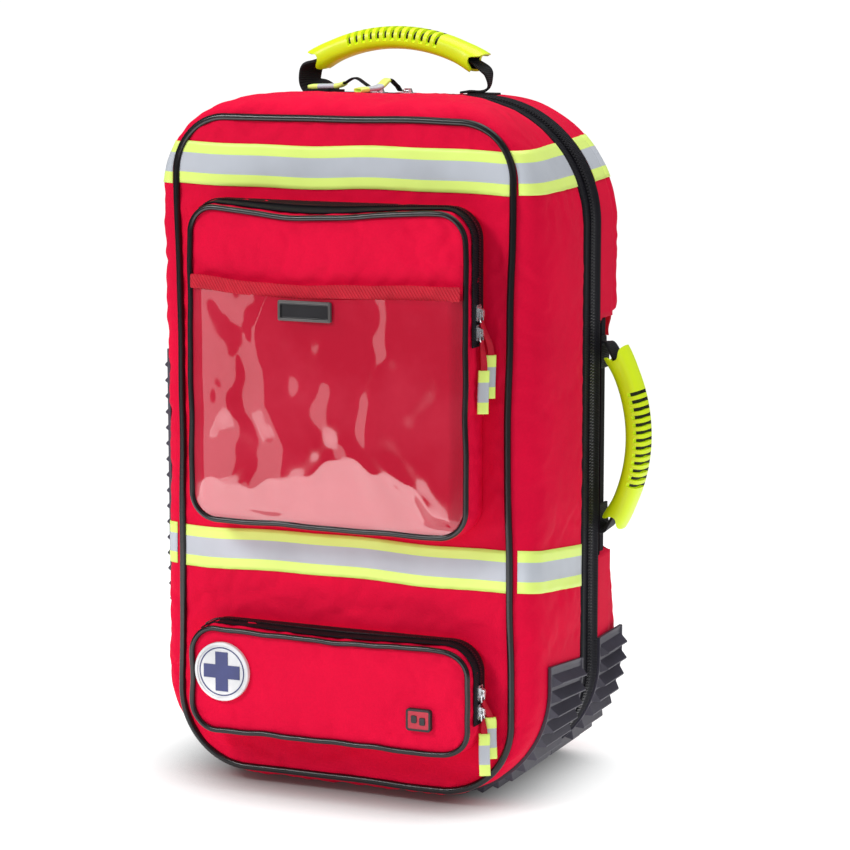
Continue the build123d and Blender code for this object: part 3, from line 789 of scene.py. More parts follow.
def piping_ring(name, outline, y, radius, body, node, shape_points, wobble, seed=5):
    """A sewn bead round an outline."""
    path, normals, _ = ring_path(outline, y, 420)
    path = shape_points(path)
    noise = np.random.default_rng(seed)
    angle = np.linspace(0, 2 * math.pi, len(path), endpoint=False)
    drift = sum(
        np.sin(angle * k + noise.uniform(0, 6.28)) * noise.uniform(0.4, 1.0) for k in (3, 7, 12, 19)
    )
    path = path + normals * (wobble * drift)[:, None]
    piece = tube(name, path, radius, 10)
    piece.data.materials.append(piping_gloss)
    return finish_piece(piece, body, "piping", [node])


piping_ring("front_bead", PANEL, FRONT_Y - 0.0006, PANEL_BEAD, "lid", "front_piping", bow, 0.0005)


def half_width(outline, z):
    """Half the width of a rounded outline at height z."""
    high, radius = outline[3], outline[5]
    over = z - (high - radius)
    if over <= 0:
        return outline[1]
    return outline[1] - radius + math.sqrt(max(radius * radius - over * over, 0.0))


def face_place(u, z):
    """A place across the front panel, from piping to piping, and its outward direction."""
    point = bow([(u * (half_width(PANEL, z) - 0.0005), FRONT_Y, z)])[0]
    return point, (0, -1, 0)


def side_place(side):
    """Places from the piping back to the zip along one side of the lid."""

    def place(u, z):
        y = FRONT_Y + 0.0004 + (ZIP_Y - 0.0005 - FRONT_Y) * (u + 1) / 2
        over = min((y - FRONT_Y) / EDGE_DEPTH, 1.0)
        angle = math.acos(1 - over)
        body = between(BODY, ZIP_BODY, float(smooth(y, FRONT_Y + EDGE_DEPTH, ZIP_Y)))
        inner, outer = half_width(PANEL, z), half_width(body, z)
        x = inner + (outer - inner) * math.sin(angle)
        return (side * x, y, z), (side * math.sin(angle), -math.cos(angle), 0)

    return place


def laid_tape(name, place, count, tree, middle, rise, body, nodes):
    """Reflective tape along a route, dropped on to the cloth. u runs from -1 to 1 along it."""
    rows = 10
    grid = np.zeros((rows + 1, count, 3))
    uv = np.zeros((rows + 1, count, 2))
    for j in range(rows + 1):
        v = j / rows
        points, normals = [], []
        for i in range(count):
            u = -1 + 2 * i / (count - 1)
            point, normal = place(u, middle + rise(u) + TAPE * (v - 0.5))
            points.append(point)
            normals.append(normal)
        grid[j] = laid_on(points, normals, tree, 0.0008)
        steps = np.linalg.norm(np.diff(grid[j], axis=0), axis=1)
        uv[j, :, 0] = np.concatenate([[0], np.cumsum(steps)])
        uv[j, :, 1] = v
    piece = sheet_grid(name, grid, uv)
    piece.data.materials.append(reflective)
    thicken(piece, 0.0007, 0.0)
    return finish_piece(piece, body, "reflective_tape", nodes)


def bands():
    """Tape across the front panel and along both sides of the lid."""
    drops = (-0.0005, -0.0140)
    for level, (middle, node, drop) in enumerate(zip(BAND_HEIGHTS, ("upper_band", "lower_band"), drops)):
        laid_tape(f"{node}_front", face_place, 80, front_surface, middle,
                  lambda u: 0.0011 * math.sin(4.1 * u + level * 2) + 0.0005 * math.sin(10 * u),
                  "lid", [node])
        for side, word in ((-1, "left"), (1, "right")):
            laid_tape(f"{node}_{word}", side_place(side), 30, front_surface, middle,
                      lambda u: drop * (u + 1) / 2, "lid", [node])


bands()

# ------------------------------------------------------------------ pockets

POCKET_Y = pocket_low[1]


def sag(points, low, high, amount, middle_x):
    """A pocket's upper edge droops towards its middle, and more at the front than where it is sewn."""
    p = np.array(points, float)
    forward = smooth(-p[:, 1], -FRONT_Y, -POCKET_Y)
    near_top = smooth(p[:, 2], low[2] + 0.45 * (high[2] - low[2]), high[2])
    p[:, 2] -= amount * bell(p[:, 0], middle_x, 0.085) * near_top * forward
    return p


def pocket(name, low, high, node, drop, seed, kept):
    """A patch pocket: a face with a sewn edge, and a gusset back to the panel."""
    outline = shape(low[0], high[0], low[2], high[2], POCKET_RADIUS, POCKET_RADIUS)
    sections = [
        (grown(outline, -0.0045), POCKET_Y + 0.0004),
        (grown(outline, -0.0020), POCKET_Y + 0.0012),
        (grown(outline, -0.0006), POCKET_Y + 0.0032),
    ]
    rows = 7
    for row in range(1, rows + 1):
        y = POCKET_Y + 0.0032 + (FRONT_Y - POCKET_Y - 0.0032) * row / rows
        sections.append((grown(outline, 0.0010 * math.sin(math.pi * row / rows)), y))
    width, height = high[0] - low[0], high[2] - low[2]
    tray = Tray(sections, nx=round(width / 0.0052), nz=round(height / 0.0052), nc=5)
    piece = tray.build(name)
    piece.data.materials.append(red_cloth)
    held = np.zeros(len(tray.points))
    for loop in (tray.loops[0], tray.loops[1], tray.loops[-1]):
        held[loop] = 1
    for kept_node, strength in kept:
        near = near_box(tray.points[:, 0], tray.points[:, 2], *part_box(kept_node), 0.010)
        held = np.maximum(held, strength * near)
    puff(piece, held, pressure=1.6, slack=0.022, cap=0.005, nudge=0.0010, seed=seed)
    set_points(piece, drop(mesh_points(piece)))
    subdivide(piece)
    thicken(piece, 0.0016)
    finish_piece(piece, "lid", "red_fabric", [node])
    return piece, outline


def upper_drop(points):
    return sag(points, pocket_low, pocket_high, 0.0095, -0.020)


def lower_drop(points):
    return sag(points, bag_low, bag_high, 0.0035, 0.0)


def pocket_zip(name, outline, low_z, drop, node):
    """Zip tape along a gusset's top and down its right side, with its closed coil in the middle."""
    zip_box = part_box(node)
    y_low, y_high = zip_box[0][1], zip_box[1][1]
    path, normals, total = ring_path(outline, 0.0, 900)
    keep = (path[:, 2] > low_z) & (path[:, 0] > outline[0] + outline[4] * 0.35)
    keep |= (path[:, 2] > outline[3] - 0.004)
    order = np.nonzero(keep)[0]
    path, normals = path[order], normals[order]
    rows = 6
    grid = np.zeros((rows + 1, len(path), 3))
    uv = np.zeros((rows + 1, len(path), 2))
    run = np.arange(len(path)) * total / 900
    for j in range(rows + 1):
        y = y_low + (y_high - y_low) * j / rows
        lift = 0.0021 - 0.0007 * abs(j / rows - 0.5)
        grid[j] = path + normals * lift
        grid[j, :, 1] = y
        uv[j, :, 0] = run
        uv[j, :, 1] = j / rows
    flat = drop(grid.reshape(-1, 3))
    piece = sheet_grid(name, flat.reshape(grid.shape), uv)
    piece.data.materials.append(zip_cloth)
    thicken(piece, 0.0010, 0.0)
    finish_piece(piece, "lid", "zip_tape", [node])
    middle = (y_low + y_high) / 2
    spine = path + normals * 0.0030
    spine[:, 1] = middle
    coil = teeth(f"{name}_coil", drop(spine), normals, 0.0024, 0.0036, 0.0012)
    finish_piece(coil, "lid", "zip_tape")
    return piece


def teeth(name, path, normals, pitch, span, height, offset=0.0, shift=0.0):
    """A row of zip teeth along a path: small rounded bars across it."""
    steps = np.linalg.norm(np.diff(path, axis=0), axis=1)
    run = np.concatenate([[0], np.cumsum(steps)])
    count = max(2, int(run[-1] / pitch))
    points, faces = [], []
    section = [(-0.5, 0.0), (-0.36, 0.75), (0.0, 1.0), (0.36, 0.75), (0.5, 0.0)]
    for k in range(count):
        s = (k + 0.5) * run[-1] / count + shift
        centre = np.array([np.interp(s, run, path[:, c]) for c in range(3)])
        up = np.array([np.interp(s, run, normals[:, c]) for c in range(3)])
        up /= np.linalg.norm(up)
        across = np.array([0.0, 1.0, 0.0])
        along = np.cross(across, up)
        start = len(points)
        for end in (-1, 1):
            for a, h in section:
                points.append(
                    centre + across * (offset + end * span / 2) + along * a * pitch * 0.72 + up * h * height
                )
        n = len(section)
        for q in range(n - 1):
            faces.append((start + q, start + q + 1, start + n + q + 1, start + n + q))
        faces.append(tuple(start + q for q in reversed(range(n))))
        faces.append(tuple(start + n + q for q in range(n)))
    piece = make_object(name, points, faces, smooth_faces=False)
    piece.data.materials.append(coil_plastic)
    return piece


upper_pocket, upper_outline = pocket("upper_pouch", pocket_low, pocket_high, "upper_pocket", upper_drop, 21,
                                     [("pocket_window", 0.92), ("window_strip", 0.8), ("id_tag", 1.0)])
_, lower_outline = pocket("lower_pouch", bag_low, bag_high, "lower_pocket", lower_drop, 22,
                           [("badge_disc", 1.0), ("pocket_patch", 1.0)])
upper_surface = surface_of(upper_pocket)
piping_ring("upper_bead", grown(upper_outline, -0.0022), POCKET_Y - 0.0010, POCKET_BEAD, "lid",
            "upper_pocket_piping", upper_drop, 0.0004, 6)
piping_ring("lower_bead", grown(lower_outline, -0.0022), POCKET_Y - 0.0010, POCKET_BEAD, "lid",
            "lower_pocket_piping", lower_drop, 0.0004, 8)
pocket_zip("upper_pouch_zip", upper_outline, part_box("upper_pocket_zip")[0][2], upper_drop, "upper_pocket_zip")
pocket_zip("lower_pouch_zip", lower_outline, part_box("lower_pocket_zip")[0][2], lower_drop, "lower_pocket_zip")


WINDOW_RAISE = 0.0085


def clear_window():
    """A loose vinyl sheet: it bulges at the bottom, and long soft creases run through it."""
    low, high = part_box("pocket_window")
    columns, rows = 150, 116
    xs = np.linspace(low[0] - 0.0035, high[0] + 0.0035, columns)
    zs = np.linspace(low[2] - 0.0035, high[2] + WINDOW_RAISE, rows)
    grid = np.zeros((rows, columns, 3))
    uv = np.zeros((rows, columns, 2))
    x, z = np.meshgrid(xs, zs)
    edge = np.minimum(np.minimum(x - xs[0], xs[-1] - x), z - zs[0])
    free = smooth(edge, 0.002, 0.030)
    rng = np.random.default_rng(31)
    relief = np.zeros_like(x)
    for wave, height in ((0.13, 0.00040), (0.07, 0.00026), (0.036, 0.00014)):
        for _ in range(5):
            angle = rng.uniform(-0.5, 0.9)
            push = rng.uniform(0, 6.28)
            bend = 0.35 * np.sin(2 * math.pi * (x * math.sin(angle) + z) / (wave * 1.7) + push * 2)
            phase = 2 * math.pi * (x * math.cos(angle) + z * math.sin(angle)) / wave + push + bend * 2.2
            relief += rng.uniform(0.3, 1.0) * height * np.sin(phase)
    fold_z = 0.030 + 0.030 * bell(x - 0.026, 0.0, 0.055)
    fold_z += 0.0035 * np.sin(x * 95) + 0.002 * np.sin(x * 210 + 1)
    fold_z -= 0.020 * smooth(x, 0.075, 0.135)
    rise = np.clip((z - low[2]) / np.maximum(fold_z, 0.006), 0, 1)
    belly = 0.0040 * (rise - 0.12 * np.sin(math.pi * rise))
    fold_x = 0.052 + 0.012 * np.sin(z * 42 + 0.6) + 0.006 * np.sin(z * 97)
    left_fold = 0.0034 * smooth(np.clip((x - low[0]) / fold_x, 0, 1) * 0.92)
    second = 0.0016 * bell(x + 0.052 + 0.010 * np.sin(z * 33), 0.0, 0.016)
    right_fold = 0.0013 * bell(x - 0.058 - 0.010 * np.sin(z * 28 + 1), 0.0, 0.012)
    lens = 0.0016 * bell(x - 0.072 + 0.5 * (z - low[2] - 0.048), 0.0, 0.011) * bell(z, low[2] + 0.048, 0.017)
    folds = belly + left_fold * rise + second + right_fold + lens
    lift = 0.0010 + smooth(edge, 0.0, 0.012) * (folds + relief * free)
    grid[..., 0] = x
    grid[..., 2] = z
    uv[..., 0] = x
    uv[..., 1] = z
    flat = grid.reshape(-1, 3)
    flat[:, 1] = POCKET_Y
    dropped = laid_on(upper_drop(flat), np.tile((0.0, -1.0, 0.0), (len(flat), 1)), upper_surface, 0.0)
    dropped[:, 1] = np.minimum(dropped[:, 1], POCKET_Y) - lift.ravel()
    dropped[:, 1] = np.maximum(dropped[:, 1], POCKET_Y - 0.0095)
    corner = POCKET_RADIUS - 0.005
    inside_x = np.maximum(np.abs(dropped[:, 0]) - (high[0] + 0.0035 - corner), 0)
    inside_z = np.maximum(low[2] - 0.0035 + corner - dropped[:, 2], 0)
    far = np.hypot(inside_x, inside_z)
    pull = np.where(far > corner, corner / np.maximum(far, 1e-6), 1.0)
    dropped[:, 0] -= np.sign(dropped[:, 0]) * inside_x * (1 - pull)
    dropped[:, 2] += inside_z * (1 - pull)
    piece = sheet_grid("window_vinyl", dropped.reshape(grid.shape), uv)
    piece.data.materials.append(vinyl)
    subdivide(piece)
    finish_piece(piece, "lid", "clear_pvc", ["pocket_window"])


clear_window()


def strip_over_window():
    """The ribbon that binds the window's upper edge."""
    low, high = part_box("window_strip")
    columns, rows = 90, 6
    xs = np.linspace(low[0] - 0.002, high[0] + 0.002, columns)
    grid = np.zeros((rows, columns, 3))
    uv = np.zeros((rows, columns, 2))
    for j in range(rows):
        z = low[2] + WINDOW_RAISE - 0.0006 + (high[2] - low[2] + 0.0012) * j / (rows - 1)
        dz = 0.0007 * np.sin(xs * 37 + 1.0) + 0.0004 * np.sin(xs * 90)
        grid[j, :, 0] = xs
        grid[j, :, 1] = POCKET_Y
        grid[j, :, 2] = z + dz
        uv[j, :, 0] = xs
        uv[j, :, 1] = (z - low[2])
    flat = upper_drop(grid.reshape(-1, 3))
    flat = laid_on(flat, np.tile((0.0, -1.0, 0.0), (len(flat), 1)), upper_surface, 0.0)
    lift = 0.0062 + 0.0006 * np.sin(flat[:, 0] * 60)
    flat[:, 1] = np.maximum(np.minimum(flat[:, 1], POCKET_Y) - lift, POCKET_Y - 0.0100)
    piece = sheet_grid("window_binding", flat.reshape(grid.shape), uv)
    piece.data.materials.append(grosgrain)
    thicken(piece, 0.0010, 1.0)
    subdivide(piece)
    return finish_piece(piece, "lid", "red_grosgrain", ["window_strip"])


strip_over_window()


def name_tag():
    """A blank moulded tag holder with a raised border and a dark insert."""
    low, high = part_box("id_tag")
    y = POCKET_Y - 0.0102
    outline = shape(low[0] + 0.004, high[0] + 0.004, low[2] + 0.003, high[2] + 0.003, 0.0016, 0.0016)
    inner = grown(outline, -0.0030)
    sections = [
        (grown(inner, -0.0004), y + 0.0006), (inner, y + 0.0004), (grown(inner, 0.0004), y - 0.0012),
        (grown(outline, -0.0004), y - 0.0012), (outline, y - 0.0008), (outline, y + 0.0016),
    ]
    tray = Tray(sections, nx=24, nz=10, nc=2)
    piece = tray.build("name_tag")
    piece.data.materials.append(tag_insert)
    piece.data.materials.append(tag_border)
    face_count = tray.nx * tray.nz
    index = np.ones(len(piece.data.polygons), dtype=np.int32)
    index[:face_count + 2 * tray.rim_count] = 0
    piece.data.polygons.foreach_set("material_index", index)
    return finish_piece(piece, "lid", "tag_rubber", ["id_tag"])


tag_insert = rubber_material("tag_insert", (0.016, 0.015, 0.018), rough=0.28)
tag_border = rubber_material("tag_border", (0.085, 0.075, 0.075), rough=0.45)
name_tag()

badge_white = rubber_material("badge_white", (0.80, 0.81, 0.84), rough=0.4)
badge_navy = rubber_material("badge_navy", (0.045, 0.055, 0.19), rough=0.45)
patch_red = rubber_material("patch_red", (0.55, 0.012, 0.040), rough=0.4)
paint("badge_disc", badge_white)
paint("badge_cross", badge_navy)


def flat_ring(name, centre, y, inner, outer, material, body, slot):
    """A thin raised ring on the badge."""
    count = 72
    points, faces = [], []
    for k in range(count):
        angle = 2 * math.pi * k / count
        way = (math.cos(angle), math.sin(angle))
        for radius, lift in ((inner, 0.0), (inner + 0.0002, 0.0005), (outer - 0.0002, 0.0005), (outer, 0.0)):
            points.append((centre[0] + radius * way[0], y - lift, centre[1] + radius * way[1]))
    for k in range(count):
        n = (k + 1) % count
        for q in range(3):
            faces.append((k * 4 + q, k * 4 + q + 1, n * 4 + q + 1, n * 4 + q))
    piece = make_object(name, points, faces)
    piece.data.materials.append(material)
    return finish_piece(piece, body, slot)


disc_low, disc_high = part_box("badge_disc")
disc_centre = ((disc_low[0] + disc_high[0]) / 2, (disc_low[2] + disc_high[2]) / 2)
cross_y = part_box("badge_cross")[1][1]
flat_ring("badge_ring", disc_centre, cross_y, 0.0226, 0.0238, badge_navy, "lid", "badge_navy")


def brand_free_patch():
    """A small moulded patch with a dark edge and two plain bars."""
    low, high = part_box("pocket_patch")
    outline = shape(low[0], high[0], low[2], high[2], 0.003, 0.003)
    y = POCKET_Y - 0.0038
    sections = [(grown(outline, -0.0022), y), (grown(outline, -0.0016), y - 0.0005),
                (grown(outline, -0.0005), y - 0.0005), (outline, y), (outline, POCKET_Y + 0.0004)]
    tray = Tray(sections, nx=16, nz=14, nc=3)
    piece = tray.build("plain_patch")
    piece.data.materials.append(patch_red)
    piece.data.materials.append(dark_rubber)
    index = np.ones(len(piece.data.polygons), dtype=np.int32)
    index[:tray.nx * tray.nz] = 0
    piece.data.polygons.foreach_set("material_index", index)
    finish_piece(piece, "lid", "patch_red", ["pocket_patch"])
    middle_x, middle_z = (low[0] + high[0]) / 2, (low[2] + high[2]) / 2
    for side, word in ((-1, "left"), (1, "right")):
        bar = shape(-0.0028, 0.0028, -0.0036, 0.0036, 0.0012, 0.0012)
        bar = (bar[0] + middle_x + side * 0.0042, bar[1] + middle_x + side * 0.0042,
               bar[2] + middle_z - side * 0.0008, bar[3] + middle_z - side * 0.0008, bar[4], bar[5])
        bar_tray = Tray([(grown(bar, -0.0004), y - 0.0010), (bar, y - 0.0007), (bar, y + 0.0004)], 8, 8, 2)
        block = bar_tray.build(f"patch_bar_{word}")
        block.data.materials.append(dark_rubber)
        finish_piece(block, "lid", "patch_red")


brand_free_patch()

# ------------------------------------------------------------------ rear half and back

recess_low, recess_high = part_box("side_panel")
cover_low, cover_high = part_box("harness_cover")
housing_low, housing_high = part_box("lumbar_housing")


def rear_shell():
    """The pack's own half: sides behind the zip, a recess beside the side handle, and the back."""
    sections = [(grown(ZIP_BODY, -0.0022), ZIP_REAR_Y - 0.001), (ZIP_BODY, ZIP_REAR_Y)]
    rows = 9
    for row in range(1, rows + 1):
        y = ZIP_REAR_Y + (BACK_Y - 0.0005 - ZIP_REAR_Y) * row / rows
        sections.append((between(ZIP_BODY, REAR_BODY, row / rows), y))
    sections.append((grown(REAR_BODY, -0.002), BACK_Y))
    tray = Tray(sections, nx=62, nz=120, nc=12, close=True)
    first = tray.face_grid.ravel()
    points = tray.points
    low, high = recess_low[2], recess_high[2]
    side = points[:, 0] > BODY[1] - 0.009
    inside = side & (points[:, 2] > low - 0.002) & (points[:, 2] < high + 0.002)
    column = np.unique(np.round(points[inside, 2], 6))
    for edge in (low, high):
        nearest = column[np.argmin(np.abs(column - edge))]
        rows_here = side & (np.abs(points[:, 2] - nearest) < 1e-5)
        points[rows_here, 2] = edge
    deep = side & (points[:, 2] > low + 0.001) & (points[:, 2] < high - 0.001)
    y = points[:, 1]
    depth = np.where(y < recess_low[1] - 0.001, 0.0, 0.0052)
    depth = depth + 0.020 * smooth(y, 0.036, BACK_Y + 0.004)
    points[deep, 0] -= depth[deep]
    piece = tray.build("rear_half")
    keep = set(int(k) for k in first if k not in set(tray.loops[0]))
    mesh = bmesh.new()
    mesh.from_mesh(piece.data)
    mesh.verts.ensure_lookup_table()
    bmesh.ops.delete(mesh, geom=[mesh.verts[k] for k in sorted(keep)], context="VERTS")
    mesh.to_mesh(piece.data)
    mesh.free()
    piece.data.materials.append(red_cloth)
    thicken(piece, 0.003)
    return finish_piece(piece, "pack", "red_fabric", ["rear_shell"])


rear_half = rear_shell()
rear_surface = surface_of(rear_half)


def side_cloth():
    """Coarse black cloth that lines the recess beside the side handle."""
    low, high = recess_low, recess_high
    columns, rows = 12, 40
    grid = np.zeros((rows + 1, columns + 1, 3))
    uv = np.zeros((rows + 1, columns + 1, 2))
    for j in range(rows + 1):
        z = low[2] + (high[2] - low[2]) * j / rows
        for i in range(columns + 1):
            y = ZIP_REAR_Y + 0.0004 + (high[1] - ZIP_REAR_Y) * i / columns
            step = 0.0052 * float(smooth(y, ZIP_REAR_Y + 0.001, ZIP_REAR_Y + 0.006))
            x = BODY[1] - step - 0.020 * float(smooth(y, 0.036, BACK_Y + 0.004)) + 0.0014
            swell = 0.0012 * math.sin(math.pi * i / columns) * math.sin(9 * z + 2)
            grid[j, i] = (x + max(swell, -0.0006), y, z)
            uv[j, i] = (y, z)
    piece = sheet_grid("side_cloth", grid, uv)
    piece.data.materials.append(black_cloth)
    thicken(piece, 0.0008, 1.0)
    subdivide(piece)
    return finish_piece(piece, "pack", "black_panel", ["side_panel"])


side_cloth()


def ring_strip(name, outline, stations, count, material, body, slot, nodes):
    """A strip all round the bag from (grow, y) stations across it."""
    rings = []
    for grow, y in stations:
        path, _, total = ring_path(grown(outline, grow), y, count)
        rings.append(np.vstack([path, path[:1]]))
    grid = np.array(rings)
    uv = np.zeros((len(rings), count + 1, 2))
    uv[:, :, 0] = np.linspace(0, total, count + 1)[None, :]
    uv[:, :, 1] = np.linspace(0, 1, len(rings))[:, None]
    piece = sheet_grid(name, grid, uv)
    piece.data.materials.append(material)
    thicken(piece, 0.0008, 0.0)
    return finish_piece(piece, body, slot, nodes)


def main_zip():
    """Both woven tapes of the main zip, a raised fold on each, and their coils' teeth."""
    middle = (SPLIT_LID_Y + SPLIT_PACK_Y) / 2
    for word, body, outer_y, inner_y, node in (
        ("front", "lid", ZIP_Y, SPLIT_LID_Y, "front_zip_tape"),
        ("rear", "pack", ZIP_REAR_Y, SPLIT_PACK_Y, "rear_zip_tape"),
    ):
        way = 1 if inner_y > outer_y else -1
        stations = [
            (-0.0022, outer_y - way * 0.0010), (0.0002, outer_y + way * 0.0006),
            (0.0009, outer_y + way * 0.0025), (0.0004, outer_y + way * 0.0050),
            (-0.0010, outer_y + way * 0.0075), (-0.0014, outer_y + way * 0.0120),
            (-0.0012, inner_y - way * 0.0052), (-0.0004, inner_y - way * 0.0040),
            (-0.0006, inner_y - way * 0.0008),
        ]
        ring_strip(f"main_zip_{word}", ZIP_BODY, stations, 520, zip_cloth, body, "zip_tape", [node])
        path, normals, _ = ring_path(grown(ZIP_BODY, -0.0006), middle - way * 0.0010, 700)
        path = np.vstack([path, path[:1]])
        normals = np.vstack([normals, normals[:1]])
        row = teeth(f"main_coil_{word}", path, normals, 0.0030, 0.0052, 0.0016,
                    offset=-way * 0.0016, shift=0.0 if way > 0 else 0.0015)
        finish_piece(row, body, "zip_tape")


main_zip()


def rear_side_place(side):
    """Places from the zip to the back along one side of the rear half."""

    def place(u, z):
        share = (u + 1) / 2
        body = between(ZIP_BODY, REAR_BODY, share)
        y = ZIP_REAR_Y + 0.0006 + (BACK_Y - 0.0016 - ZIP_REAR_Y) * share
        return (side * half_width(body, z), y, z), (side, 0, 0)

    return place


def rear_tape():
    """The tape continues round the rear half's sides."""
    for side, word in ((-1, "left"), (1, "right")):
        laid_tape(f"rear_band_{word}", rear_side_place(side), 16, rear_surface, BAND_HEIGHTS[0],
                  lambda u: 0.001, "pack", ["rear_band"])


rear_tape()

# ------------------------------------------------------------------ rubber skids

SKID_PITCH = 0.0155
SKID_FOOT = 0.0135
SKID_BASE = 0.0016
RIDGE = 0.64


class SkidLine:
    """The lower outline from the right side's top, under the bag, to the left side's top."""

    def __init__(self, right_top, left_top):
        radius = BODY[4]
        self.radius, self.right_top, self.left_top = radius, right_top, left_top
        self.right = right_top - BASE - radius
        self.corner = radius * math.pi / 2
        self.floor = 2 * (HALF - radius)
        self.length = self.right + 2 * self.corner + self.floor + left_top - BASE - radius

    def at(self, s, height):
        """The point and outward direction at distance s, raised by height."""
        centre_z = BASE + self.radius
        if s < self.right:
            return (HALF + height, self.right_top - s), (1.0, 0.0)
        s -= self.right
        if s < self.corner:
            turn = s / self.radius
            way = (math.cos(turn), -math.sin(turn))
            return (HALF - self.radius + way[0] * (self.radius + height),
                    centre_z + way[1] * (self.radius + height)), way
        s -= self.corner
        if s < self.floor:
            return (HALF - self.radius - s, BASE - height), (0.0, -1.0)
        s -= self.floor
        if s < self.corner:
            turn = s / self.radius
            way = (-math.sin(turn), -math.cos(turn))
            return (self.radius - HALF + way[0] * (self.radius + height),
                    centre_z + way[1] * (self.radius + height)), way
        return (-HALF - height, centre_z + s - self.corner), (-1.0, 0.0)


def skid(name, node, body, y_front, y_back, seam_front, seam_back, front_free, line):
    """A moulded strip: a base with a rim, and wedge ribs with sloping ends across it."""
    points, faces = [], []

    def place(s, y, height):
        slant = 0.009 if front_free else 0.0
        back = (y - y_front) / (y_back - y_front)
        s = s + slant * back * float(1 - smooth(s, 0.0, 0.09))
        if front_free:
            left = float(smooth(s, line.length - 0.30, line.length - 0.20))
            y -= 0.0085 * left * (1 - back)
        (x, z), _ = line.at(s, height)
        points.append((x, y, z))
        return len(points) - 1

    def patch(rows):
        for a, b in zip(rows, rows[1:]):
            for k in range(len(a) - 1):
                faces.append((a[k], a[k + 1], b[k + 1], b[k]))

    steps = int(line.length / 0.004)
    profile = [(y_front, 0.0), (y_front, 0.0031), (y_front + 0.0026, 0.0031), (y_front + 0.0034, SKID_BASE),
               (y_back - 0.0034, SKID_BASE), (y_back - 0.0026, 0.0031), (y_back, 0.0031), (y_back, 0.0)]
    rows = []
    for k in range(steps + 1):
        s = line.length * k / steps
        rim = 0.0011 if min(s, line.length - s) < 0.003 else 0.0
        rows.append([place(s, y, h if h == 0 else max(h, SKID_BASE + rim)) for y, h in profile])
    patch(rows)
    faces.append(tuple(rows[0]))
    faces.append(tuple(reversed(rows[-1])))
    middle_s = line.right + line.corner + line.floor / 2
    first = middle_s % SKID_PITCH
    s = first
    while s < line.length - SKID_FOOT:
        if s > SKID_FOOT * 0.9:
            (_, z), way = line.at(s, 0)
            height = 0.0060 + 0.0040 * float(smooth(abs(way[0]), 0.08, 0.40))
            low_y, high_y = y_front + 0.0040, y_back - (0.0040 if front_free else 0.0014)
            under = z < 0.036
            if under:
                if seam_front < y_front:
                    low_y = seam_front + 0.0010
                if seam_back > y_back:
                    high_y = seam_back - 0.0010
            downhill = 1.0 if s < middle_s else -1.0
            foot_a, foot_b = s - SKID_FOOT / 2, s + SKID_FOOT / 2
            ridge = s + downhill * (RIDGE - 0.5) * SKID_FOOT
            hip_front = 0.0080 if front_free else 0.0040
            if front_free and way[0] < -0.5:
                hip_front = 0.0030
            hip_back = 0.0030 if front_free else 0.0022
            base = SKID_BASE - 0.0008
            a = [place(foot_a, low_y, base), place(foot_a, high_y, base)]
            r1 = [place(ridge - 0.0007, low_y + hip_front, height - 0.0003),
                  place(ridge - 0.0007, high_y - hip_back, height - 0.0003)]
            r2 = [place(ridge + 0.0007, low_y + hip_front, height - 0.0003),
                  place(ridge + 0.0007, high_y - hip_back, height - 0.0003)]
            b = [place(foot_b, low_y, base), place(foot_b, high_y, base)]
            patch([a, r1, r2, b])
            faces.append((a[0], r1[0], r2[0], b[0]))
            faces.append((b[1], r2[1], r1[1], a[1]))
            if under and (seam_front < y_front or seam_back > y_back):
                if seam_front < y_front:
                    near, far = seam_front, y_front + 0.002
                else:
                    near, far = y_back - 0.002, seam_back
                c = [place(s - SKID_PITCH / 2, near, base), place(s - SKID_PITCH / 2, far, base)]
                d = [place(s + SKID_PITCH / 2, near, base), place(s + SKID_PITCH / 2, far, base)]
                patch([c, d])
        s += SKID_PITCH
    piece = make_object(name, points, faces, smooth_faces=False)
    mesh = bmesh.new()
    mesh.from_mesh(piece.data)
    bmesh.ops.recalc_face_normals(mesh, faces=mesh.faces)
    mesh.to_mesh(piece.data)
    mesh.free()
    piece.data.materials.append(skid_rubber)
    bevel = piece.modifiers.new("Edges", "BEVEL")
    bevel.width = 0.0005
    bevel.segments = 2
    bevel.limit_method = "ANGLE"
    bevel.angle_limit = math.radians(25)
    return finish_piece(piece, body, "skid_rubber", [node])


skid_low, skid_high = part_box("front_skid")
rear_skid_low, rear_skid_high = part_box("rear_skid")
skid_line = SkidLine(SKID_RIGHT_TOP, skid_high[2])
skid("front_tread", "front_skid", "lid", skid_low[1], ZIP_Y, ZIP_Y, skid_high[1], True, skid_line)
skid("rear_tread", "rear_skid", "pack", ZIP_REAR_Y, rear_skid_high[1], rear_skid_low[1], ZIP_REAR_Y, False,
     skid_line)

# ------------------------------------------------------------------ carrying handles


def sharpen(piece, degrees_over=38):
    """Marks edges sharper than the angle, so that smooth shading stops at them."""
    mesh = bmesh.new()
    mesh.from_mesh(piece.data)
    for edge in mesh.edges:
        if len(edge.link_faces) == 2 and edge.calc_face_angle(0.0) > math.radians(degrees_over):
            edge.smooth = False
    mesh.to_mesh(piece.data)
    mesh.free()


GRIP_SLOTS = 13
TOP_GRIP_SHIFT = 0.007
TOP_GRIP_LIFT = 0.007
TOP_GRIP_SCALE = 0.965
SIDE_GRIP_SCALE = 0.92
SIDE_GRIP_IN = 0.0075
SLOT_PITCH = 0.0079
SLOT_WIDTH = 0.0036
GRIP_HALF_THICK = 0.011
GRIP_HALF_WIDE = 0.017
GRIP_CHORD = 0.180
GRIP_RISE = 0.024
GRIP_RADIUS = (GRIP_CHORD ** 2 / 4 + GRIP_RISE ** 2) / (2 * GRIP_RISE)


